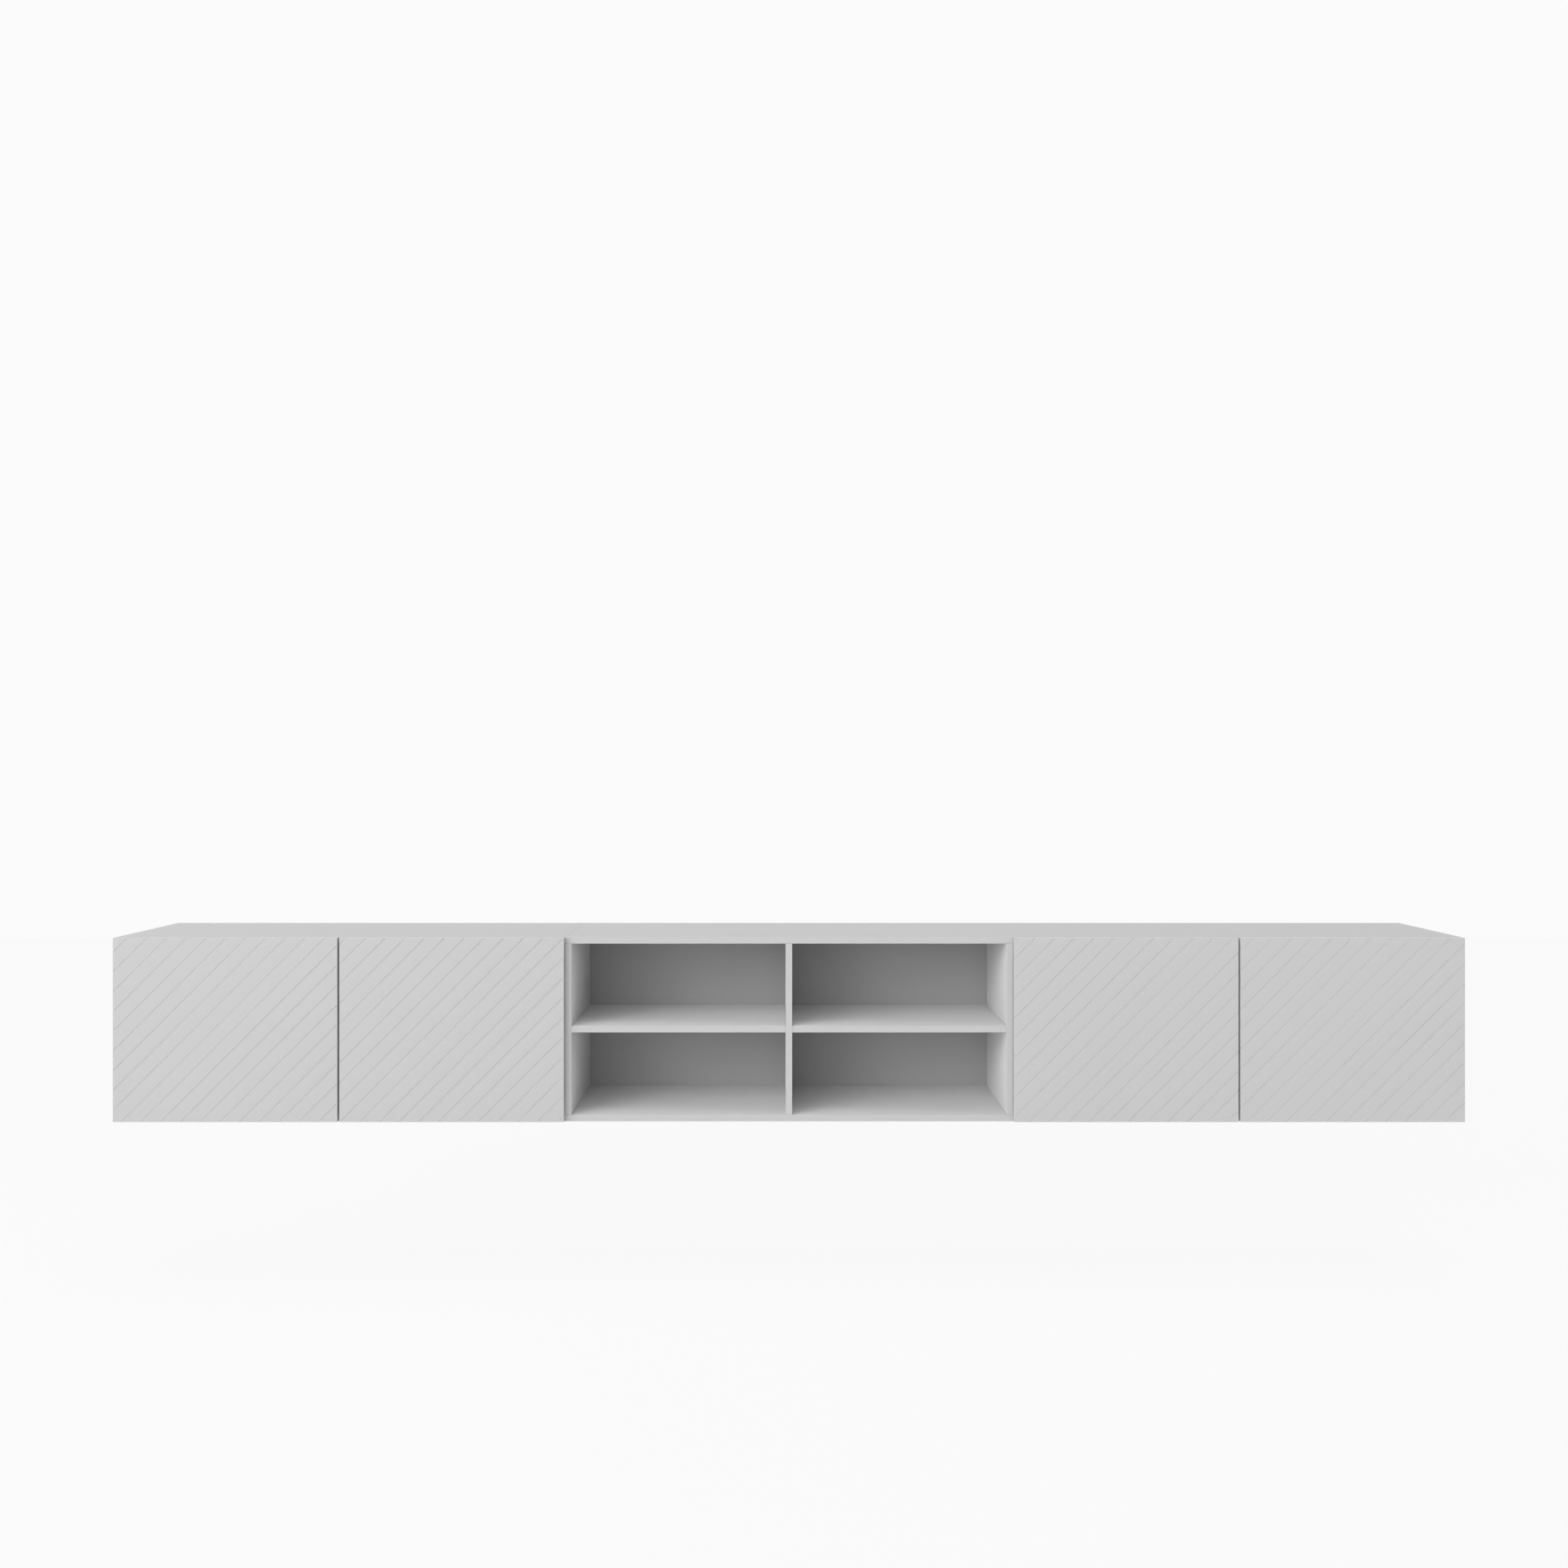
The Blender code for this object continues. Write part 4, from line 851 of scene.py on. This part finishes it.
def placed(shape, place):
    """A copy of a shape in its place, still with its faces outwards where the place mirrors it."""
    mesh = shape.copy()
    bmesh.ops.transform(mesh, matrix=place, verts=mesh.verts)
    if place.determinant() < 0.0:
        bmesh.ops.reverse_faces(mesh, faces=mesh.faces)
    return mesh


def hinge_cup():
    """The cup in the hinge's own frame: origin on the pin, X to the door's free edge, Y into the cabinet."""
    outer, inner = CUP_DIAMETER / 2, CUP_DIAMETER / 2 - CUP_SHEET
    lip = outer + CUP_LIP
    soft = CUP_SHEET
    profile = ((0.0, -CUP_DEPTH), (outer - 2 * soft, -CUP_DEPTH), (outer - soft / 2, -CUP_DEPTH + soft / 2),
               (outer, -CUP_DEPTH + 2 * soft), (outer, FITTING_GAP), (lip, FITTING_GAP),
               (lip, CUP_FLANGE - soft / 4), (lip - soft / 4, CUP_FLANGE), (inner + soft / 2, CUP_FLANGE),
               (inner, CUP_FLANGE - soft / 2), (inner, -CUP_DEPTH + 3 * soft),
               (inner - soft, -CUP_DEPTH + 1.5 * soft), (inner - 2 * soft, -CUP_DEPTH + soft),
               (0.0, -CUP_DEPTH + soft))
    in_door = Matrix.Translation((CUP_FROM_PIN, PIN_FROM_DOOR_BACK, 0.0)) @ FACING_IN
    pot = placed(turned(profile, CUP_SIDES), in_door)
    flange_sheet = CUP_FLANGE - FITTING_GAP - 2 * CUP_WING_STEP
    on_door = in_door @ Matrix.Translation((0.0, 0.0, (CUP_FLANGE + FITTING_GAP) / 2))
    wings = rounded_plate(*CUP_WINGS, CUP_WING_CORNER, flange_sheet, on_door)
    eased(wings, flange_sheet / 4, segments=1)
    wings = combined(wings, "DIFFERENCE", placed(round_bar(2 * outer, CUP_DEPTH, CUP_SIDES), in_door))
    cup = combined(pot, "UNION", wings)
    bottom = PIN_FROM_DOOR_BACK - CUP_DEPTH + CUP_SHEET / 2
    outer_end = EAR_INNER_FACE + EAR_SHEET
    in_wall = CUP_FROM_PIN - math.sqrt((outer - CUP_SHEET / 2) ** 2 - outer_end ** 2)
    angles = [math.radians(angle) for angle in EAR_ANGLES]
    arc = [EAR_RADIUS * Vector((math.cos(angle), math.sin(angle))) for angle in angles]
    outline = [Vector((in_wall, bottom)), Vector((EAR_RADIUS, bottom)), *arc]
    for side in (-1.0, 1.0):
        ear_middle = Matrix.Translation((0.0, 0.0, side * (EAR_INNER_FACE + EAR_SHEET / 2)))
        cup = combined(cup, "UNION", prism(outline, EAR_SHEET, ear_middle))
    bore = round_bar(PIN_BORE_DIAMETER, PIN_BORE_RUN * outer_end, PIN_BORE_SIDES)
    return combined(cup, "DIFFERENCE", bore)


CUP_SHAPE = shaded(hinge_cup())
hinge_places = {}
for door in FIRST_GROOVES:
    door_low, door_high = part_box(door)
    for level in ("upper", "lower"):
        hinge = "%s_%s_hinge" % (door, level)
        pin_low, pin_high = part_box(hinge + "_pin")
        axis_point = (pin_low + pin_high) / 2
        to_free_edge = math.copysign(1.0, (door_low.x + door_high.x) / 2 - axis_point.x)
        place = Matrix.Translation(axis_point) @ Matrix.Diagonal((to_free_edge, 1.0, 1.0, 1.0))
        hinge_places[hinge] = place
        cup = placed(CUP_SHAPE, place)
        new_piece(hinge + "_cup_pressing", cup, (NICKEL,), door, hinge + "_cup")
        for side in (-1.0, 1.0):
            head = Vector((CUP_FROM_PIN, PIN_FROM_DOOR_BACK + CUP_FLANGE, side * CUP_SCREW_SPACING / 2))
            screw_points[door].append((place @ head, Vector((0.0, 1.0, 0.0))))


# Hinge pins
# 2 mm steel pins, riveted over at both ends in the ears of the cups.
PIN_DIAMETER = 0.002
PIN_LENGTH = 0.0148
PIN_SIDES = 24
HEAD_ROUNDING = 0.0003
HEAD_ANGLES = (0.0, 30.0, 60.0, 90.0)


def hinge_pin():
    """The pin along Z, with its middle at the origin."""
    rim, shoulder = PIN_DIAMETER / 2 - HEAD_ROUNDING, PIN_LENGTH / 2 - HEAD_ROUNDING
    angles = [math.radians(angle) for angle in HEAD_ANGLES]
    upper = [(rim + HEAD_ROUNDING * math.sin(a), shoulder + HEAD_ROUNDING * math.cos(a)) for a in angles]
    lower = [(out, -up) for out, up in reversed(upper)]
    return turned(((0.0, PIN_LENGTH / 2), *upper, *lower, (0.0, -PIN_LENGTH / 2)), PIN_SIDES)


PIN_SHAPE = shaded(hinge_pin())
for hinge, place in hinge_places.items():
    door = hinge[:len("door_1")]
    new_piece(hinge + "_pin_rivet", placed(PIN_SHAPE, place), (ZINC,), door, hinge + "_pin")


# Hinge arms and their mounting plates
# The goose-neck arm curls round the pin, reaches over the edge of the side and sits on a ridged mounting
# plate that two screws hold. It is folded from nickel-plated steel. Two set screws in it adjust the door.
ARM_WIDTH = 0.010
ARM_SHEET = 0.0016
ARM_BEND = 0.003
ARM_ROUNDING = ARM_SHEET / 5
ARM_REACH = 0.0121
NECK_END = 0.017
SEAT_START = 0.026
SEAT = 0.01735
ARM_END = 0.064
KNUCKLE_DIAMETER = 0.0044
KNUCKLE_SIDES = 32
CHANNEL_WIDTH = 0.0112
CHANNEL_LEG = 0.0035
CHANNEL_INSET = 0.003
CHANNEL_PROUD = FITTING_GAP / 10
CHANNEL_BEND = 0.8 * ARM_SHEET
PLATE_FOOT = 0.01005
PLATE_SHEET = 0.002
PLATE_ROUNDING = PLATE_SHEET / 5
PLATE_MIDDLE = 0.049
PLATE_SIZE = Vector((0.016, 0.046))
PLATE_CORNER = 0.004
PLATE_SCREW_SPACING = 0.032
RIDGE_SIZE = Vector((0.042, 0.0076))
RIDGE_CORNER = 0.0012
RIDGE_BELOW_SEAT = 0.4 * ARM_SHEET
SET_SCREW_INSET = 0.009
# Turns an outline drawn in X and Z so that its drawn length runs along Y
XZ_ALONG_Y = Matrix.Rotation(QUARTER_TURN, 4, "X")


def hinge_arm():
    """The arm and its plate in the hinge's own frame, with X away from the side that carries them."""
    path = ((0.0, 0.0), (ARM_REACH, 0.0), (ARM_REACH, NECK_END), (SEAT, SEAT_START), (SEAT, ARM_END))
    arm = eased(prism(folded(path, ARM_SHEET, ARM_BEND), ARM_WIDTH, Matrix()), ARM_ROUNDING)
    arm = combined(arm, "UNION", round_bar(KNUCKLE_DIAMETER, ARM_WIDTH, KNUCKLE_SIDES))
    arm = combined(arm, "DIFFERENCE", round_bar(PIN_BORE_DIAMETER, 2 * ARM_WIDTH, PIN_BORE_SIDES))
    leg, top, half = SEAT - CHANNEL_LEG, SEAT + CHANNEL_PROUD, (CHANNEL_WIDTH - ARM_SHEET) / 2
    channel = folded(((leg, -half), (top, -half), (top, half), (leg, half)), ARM_SHEET, CHANNEL_BEND)
    start, end = SEAT_START + CHANNEL_INSET, ARM_END - CHANNEL_INSET
    middle = Matrix.Translation((0.0, (start + end) / 2, 0.0))
    arm = combined(arm, "UNION", prism(channel, end - start, middle @ XZ_ALONG_Y))
    plate_place = Matrix.Translation((PLATE_FOOT + PLATE_SHEET / 2, PLATE_MIDDLE, 0.0)) @ YZ_ALONG_X
    plate = eased(rounded_plate(*PLATE_SIZE, PLATE_CORNER, PLATE_SHEET, plate_place), PLATE_ROUNDING)
    ridge_low, ridge_high = PLATE_FOOT + PLATE_SHEET / 2, SEAT - RIDGE_BELOW_SEAT
    ridge_place = Matrix.Translation(((ridge_low + ridge_high) / 2, PLATE_MIDDLE, 0.0)) @ YZ_ALONG_X
    ridge = rounded_plate(*RIDGE_SIZE, RIDGE_CORNER, ridge_high - ridge_low, ridge_place)
    return combined(arm, "UNION", combined(plate, "UNION", ridge))


ARM_SHAPE = shaded(hinge_arm())
set_screw_points = []
for hinge, place in hinge_places.items():
    arm = placed(ARM_SHAPE, place)
    new_piece(hinge + "_arm_folded", arm, (NICKEL,), "carcass", hinge + "_arm")
    outwards = place.to_3x3() @ Vector((1.0, 0.0, 0.0))
    for side in (-1.0, 1.0):
        head = Vector((PLATE_FOOT + PLATE_SHEET, PLATE_MIDDLE, side * PLATE_SCREW_SPACING / 2))
        screw_points["carcass"].append((place @ head, outwards))
    for along in (SEAT_START + SET_SCREW_INSET, ARM_END - SET_SCREW_INSET):
        set_screw_points.append((place @ Vector((SEAT + ARM_SHEET / 2, along, 0.0)), outwards))


# Push latches
# A moulded ABS body with a screwed tab on each side, under the top panel behind each door's free corner. A
# push on the door lets its sprung plunger out, and the magnet in the plunger's tip holds the closed door.
LATCH_SIZE = Vector((0.016, 0.070, 0.014))
LATCH_ROUNDING = 0.0015
LATCH_SIDES = 48
TAB_SIZE = Vector((0.036, 0.018))
TAB_SHEET = 0.0025
TAB_CORNER = 0.003
TAB_ROUNDING = TAB_SHEET / 6
COLLAR_DIAMETER = 0.0122
COLLAR_LENGTH = 0.0012
COLLAR_ROUNDING = COLLAR_LENGTH / 4
PLUNGER_DIAMETER = 0.0082
PLUNGER_LENGTH = 0.062
PLUNGER_PLAY = 0.0004
MAGNET_DIAMETER = 0.0060
MAGNET_GROOVE = 0.0003
ABS_GREYS = ("#BFC0C2", "#B6B8BA")
ABS_FLOW = (60.0, 2.0)
ABS_EROSION = (3000.0, 1.0)
ABS_ROUGHNESS = 0.42
ABS_IOR = 1.54
ABS_RELIEF = (0.25, 0.00005)


def moulded_abs():
    """Moulded ABS with a spark-eroded texture: light grey, with an even, dull gloss."""
    material, flow, erosion = new_finish("moulded_abs", ABS_FLOW, ABS_EROSION)
    return finished(material, (flow, *ABS_GREYS), ABS_ROUGHNESS, (erosion, *ABS_RELIEF), {"IOR": ABS_IOR})


def latch_body():
    """The latch with the middle of its front face at the origin and Y into the cabinet."""
    half = LATCH_SIZE / 2
    body = slab(Vector((-half.x, 0.0, -half.z)), Vector((half.x, LATCH_SIZE.y, half.z)))
    tab_place = Matrix.Translation((0.0, half.y, half.z - TAB_SHEET / 2))
    tabs = rounded_plate(*TAB_SIZE, TAB_CORNER, TAB_SHEET, tab_place)
    body = combined(eased(body, LATCH_ROUNDING, segments=3), "UNION", eased(tabs, TAB_ROUNDING))
    collar = eased(round_bar(COLLAR_DIAMETER, 2 * COLLAR_LENGTH, LATCH_SIDES), COLLAR_ROUNDING)
    body = combined(body, "UNION", placed(collar, XZ_ALONG_Y))
    bore = round_bar(PLUNGER_DIAMETER + 2 * PLUNGER_PLAY, 2 * PLUNGER_LENGTH, LATCH_SIDES)
    return combined(body, "DIFFERENCE", placed(bore, XZ_ALONG_Y))


def latch_plunger():
    """The turned plunger with its tip at the origin, pointing down: magnet, groove and bevelled sleeve."""
    radius, magnet, groove = PLUNGER_DIAMETER / 2, MAGNET_DIAMETER / 2, MAGNET_GROOVE
    return turned(((0.0, 0.0), (magnet, 0.0), (magnet, groove), (magnet + groove, groove),
                   (magnet + groove, 0.0), (radius - groove, 0.0), (radius, groove),
                   (radius, PLUNGER_LENGTH), (0.0, PLUNGER_LENGTH)), LATCH_SIDES)


ABS = moulded_abs()
LATCH_SHAPE = shaded(latch_body())
PLUNGER_SHAPE = shaded(latch_plunger())
latch_tips = {}
for door in FIRST_GROOVES:
    latch = door + "_latch"
    plunger_low, plunger_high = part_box(latch + "_plunger")
    tip = (plunger_low + plunger_high) / 2
    tip.y = plunger_low.y
    latch_tips[door] = tip
    in_corner = Matrix.Translation((tip.x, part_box(latch + "_housing")[0].y, tip.z))
    new_piece(latch + "_body_moulded", placed(LATCH_SHAPE, in_corner), (ABS,), "carcass",
              latch + "_housing")
    plunger = placed(PLUNGER_SHAPE, Matrix.Translation(tip) @ FACING_IN)
    new_piece(latch + "_plunger_turned", plunger, (ZINC,), door + "_plunger",
              latch + "_plunger")
    for side in (-1.0, 1.0):
        across = side * (LATCH_SIZE.x + TAB_SIZE.x) / 4
        head = in_corner @ Vector((across, LATCH_SIZE.y / 2, LATCH_SIZE.z / 2 - TAB_SHEET))
        screw_points["carcass"].append((head, Vector((0.0, 0.0, -1.0))))


# Strike plates
# A steel disc on the back of each door, held by a countersunk screw, for the latch's magnet to pull on.
STRIKE_DIAMETER = 0.016
STRIKE_SHEET = 0.001
STRIKE_SUNK = 0.0002
STRIKE_GROOVE = STRIKE_SHEET / 5
SUNK_HEAD_DIAMETER = 0.0066
RECESS_LENGTH = 0.0042
RECESS_WIDTH = 0.0008


def strike_plate():
    """The disc with its back at the origin, facing up."""
    radius, head, groove = STRIKE_DIAMETER / 2, SUNK_HEAD_DIAMETER / 2, STRIKE_GROOVE
    disc = turned(((0.0, -STRIKE_SUNK), (radius, -STRIKE_SUNK), (radius, STRIKE_SHEET - groove),
                   (radius - groove, STRIKE_SHEET), (head + groove, STRIKE_SHEET),
                   (head, STRIKE_SHEET - groove), (head - groove, STRIKE_SHEET - groove / 4),
                   (0.0, STRIKE_SHEET - groove / 4)), LATCH_SIDES)
    top = Vector((0.0, 0.0, STRIKE_SHEET))
    for long, wide in ((RECESS_LENGTH, RECESS_WIDTH), (RECESS_WIDTH, RECESS_LENGTH)):
        corner = Vector((long, wide, STRIKE_SHEET)) / 2
        disc = combined(disc, "DIFFERENCE", slab(top - corner, top + corner))
    return disc


STRIKE_SHAPE = shaded(strike_plate())
for door, tip in latch_tips.items():
    on_door = Matrix.Translation((tip.x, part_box(door)[1].y - STRIKE_SHEET, tip.z)) @ FACING_IN
    new_piece(door + "_strike_plate", placed(STRIKE_SHAPE, on_door), (ZINC,), door)


# Screws
# Zinc-plated chipboard screws with low round heads and a cross recess hold the hinges, latches and hanging
# rails. The set screws of the hinge arms are shorter and flat.
SCREW_HEAD = (0.0068, 0.0012)
SET_SCREW_HEAD = (0.0056, 0.0009)
HEAD_SEGMENTS = 24
HEAD_RINGS = 12
SHANK_DIAMETER = 0.0035
SHANK_SIDES = 16
SET_SCREW_LENGTH = 0.003
SCREW_RECESS = (0.0040, 0.0009, 0.0008)
SCREW_SEED = 7


def screw_tree():
    """Puts a screw on each point, its head along the point's own direction, its recess at any angle."""
    tree, given = new_tree("cross_recess_screws", Int=["Seed"], Vector=["Recess Along X", "Recess Along Y"],
                           Float=["Head Radius", "Head Height", "Shank Radius", "Shank Length"])
    flatness = add(tree, "ShaderNodeMath", {0: given["Head Height"], 1: given["Head Radius"]},
                   operation="DIVIDE")
    low_dome = add(tree, "ShaderNodeCombineXYZ", {"X": 1.0, "Y": 1.0, "Z": flatness})
    ball = add(tree, "GeometryNodeMeshUVSphere", {"Segments": HEAD_SEGMENTS, "Rings": HEAD_RINGS,
                                                  "Radius": given["Head Radius"]})
    head = add(tree, "GeometryNodeTransform", {"Geometry": ball, "Scale": low_dome})
    rod = add(tree, "GeometryNodeMeshCylinder", {"Vertices": SHANK_SIDES, "Radius": given["Shank Radius"],
                                                 "Depth": given["Shank Length"]})
    half_down = add(tree, "ShaderNodeMath", {0: given["Shank Length"], 1: -2.0}, operation="DIVIDE")
    below = add(tree, "ShaderNodeCombineXYZ", {"Z": half_down})
    shank = add(tree, "GeometryNodeTransform", {"Geometry": rod, "Translation": below})
    screw = add(tree, "GeometryNodeMeshBoolean", {"Mesh 2": [head, shank]}, operation="UNION",
                solver="EXACT")
    on_top = add(tree, "ShaderNodeCombineXYZ", {"Z": given["Head Height"]})
    for recess in ("Recess Along X", "Recess Along Y"):
        bar = add(tree, "GeometryNodeMeshCube", {"Size": given[recess]})
        slot = add(tree, "GeometryNodeTransform", {"Geometry": bar, "Translation": on_top})
        screw = add(tree, "GeometryNodeMeshBoolean", {"Mesh 1": screw, "Mesh 2": slot},
                    operation="DIFFERENCE", solver="EXACT")
    way = add(tree, "GeometryNodeInputNamedAttribute", {"Name": "facing"}, data_type="FLOAT_VECTOR")
    upright = add(tree, "FunctionNodeAlignRotationToVector", {"Vector": way}, axis="Z")
    turn = add(tree, "FunctionNodeRandomValue", {"Seed": given["Seed"]}, data_type="FLOAT").outputs[1]
    angle = add(tree, "ShaderNodeMath", {0: turn, 1: QUARTER_TURN}, operation="MULTIPLY")
    about_axis = add(tree, "ShaderNodeCombineXYZ", {"Z": angle})
    twist = add(tree, "FunctionNodeEulerToRotation", {0: about_axis})
    turned_in = add(tree, "FunctionNodeRotateRotation", {"Rotation": upright, "Rotate By": twist},
                    rotation_space="LOCAL")
    screws = add(tree, "GeometryNodeInstanceOnPoints", {"Points": given["Geometry"], "Instance": screw,
                                                        "Rotation": turned_in})
    return ended(tree, given, screws)


SCREW_TREE = screw_tree()


def screws(name, body, points, head_diameter, head_height, length):
    """One piece with a screw at each of the points that ride on a body."""
    mesh = bmesh.new()
    facing = mesh.verts.layers.float_vector.new("facing")
    for point, way in points:
        mesh.verts.new(point)[facing] = way
    long, wide, deep = SCREW_RECESS
    mesh = grown(SCREW_TREE, mesh, {
        "Head Radius": head_diameter / 2, "Head Height": head_height, "Shank Radius": SHANK_DIAMETER / 2,
        "Shank Length": length, "Recess Along X": Vector((long, wide, 2 * deep)),
        "Recess Along Y": Vector((wide, long, 2 * deep)), "Seed": SCREW_SEED, "Finish": ZINC})
    new_piece(name, shaded(mesh), (ZINC,), body)


for body, points in screw_points.items():
    screws(body + "_fixing_screws", body, points, *SCREW_HEAD, SCREW_LENGTH)
screws("hinge_set_screws", "carcass", set_screw_points, *SET_SCREW_HEAD, SET_SCREW_LENGTH)
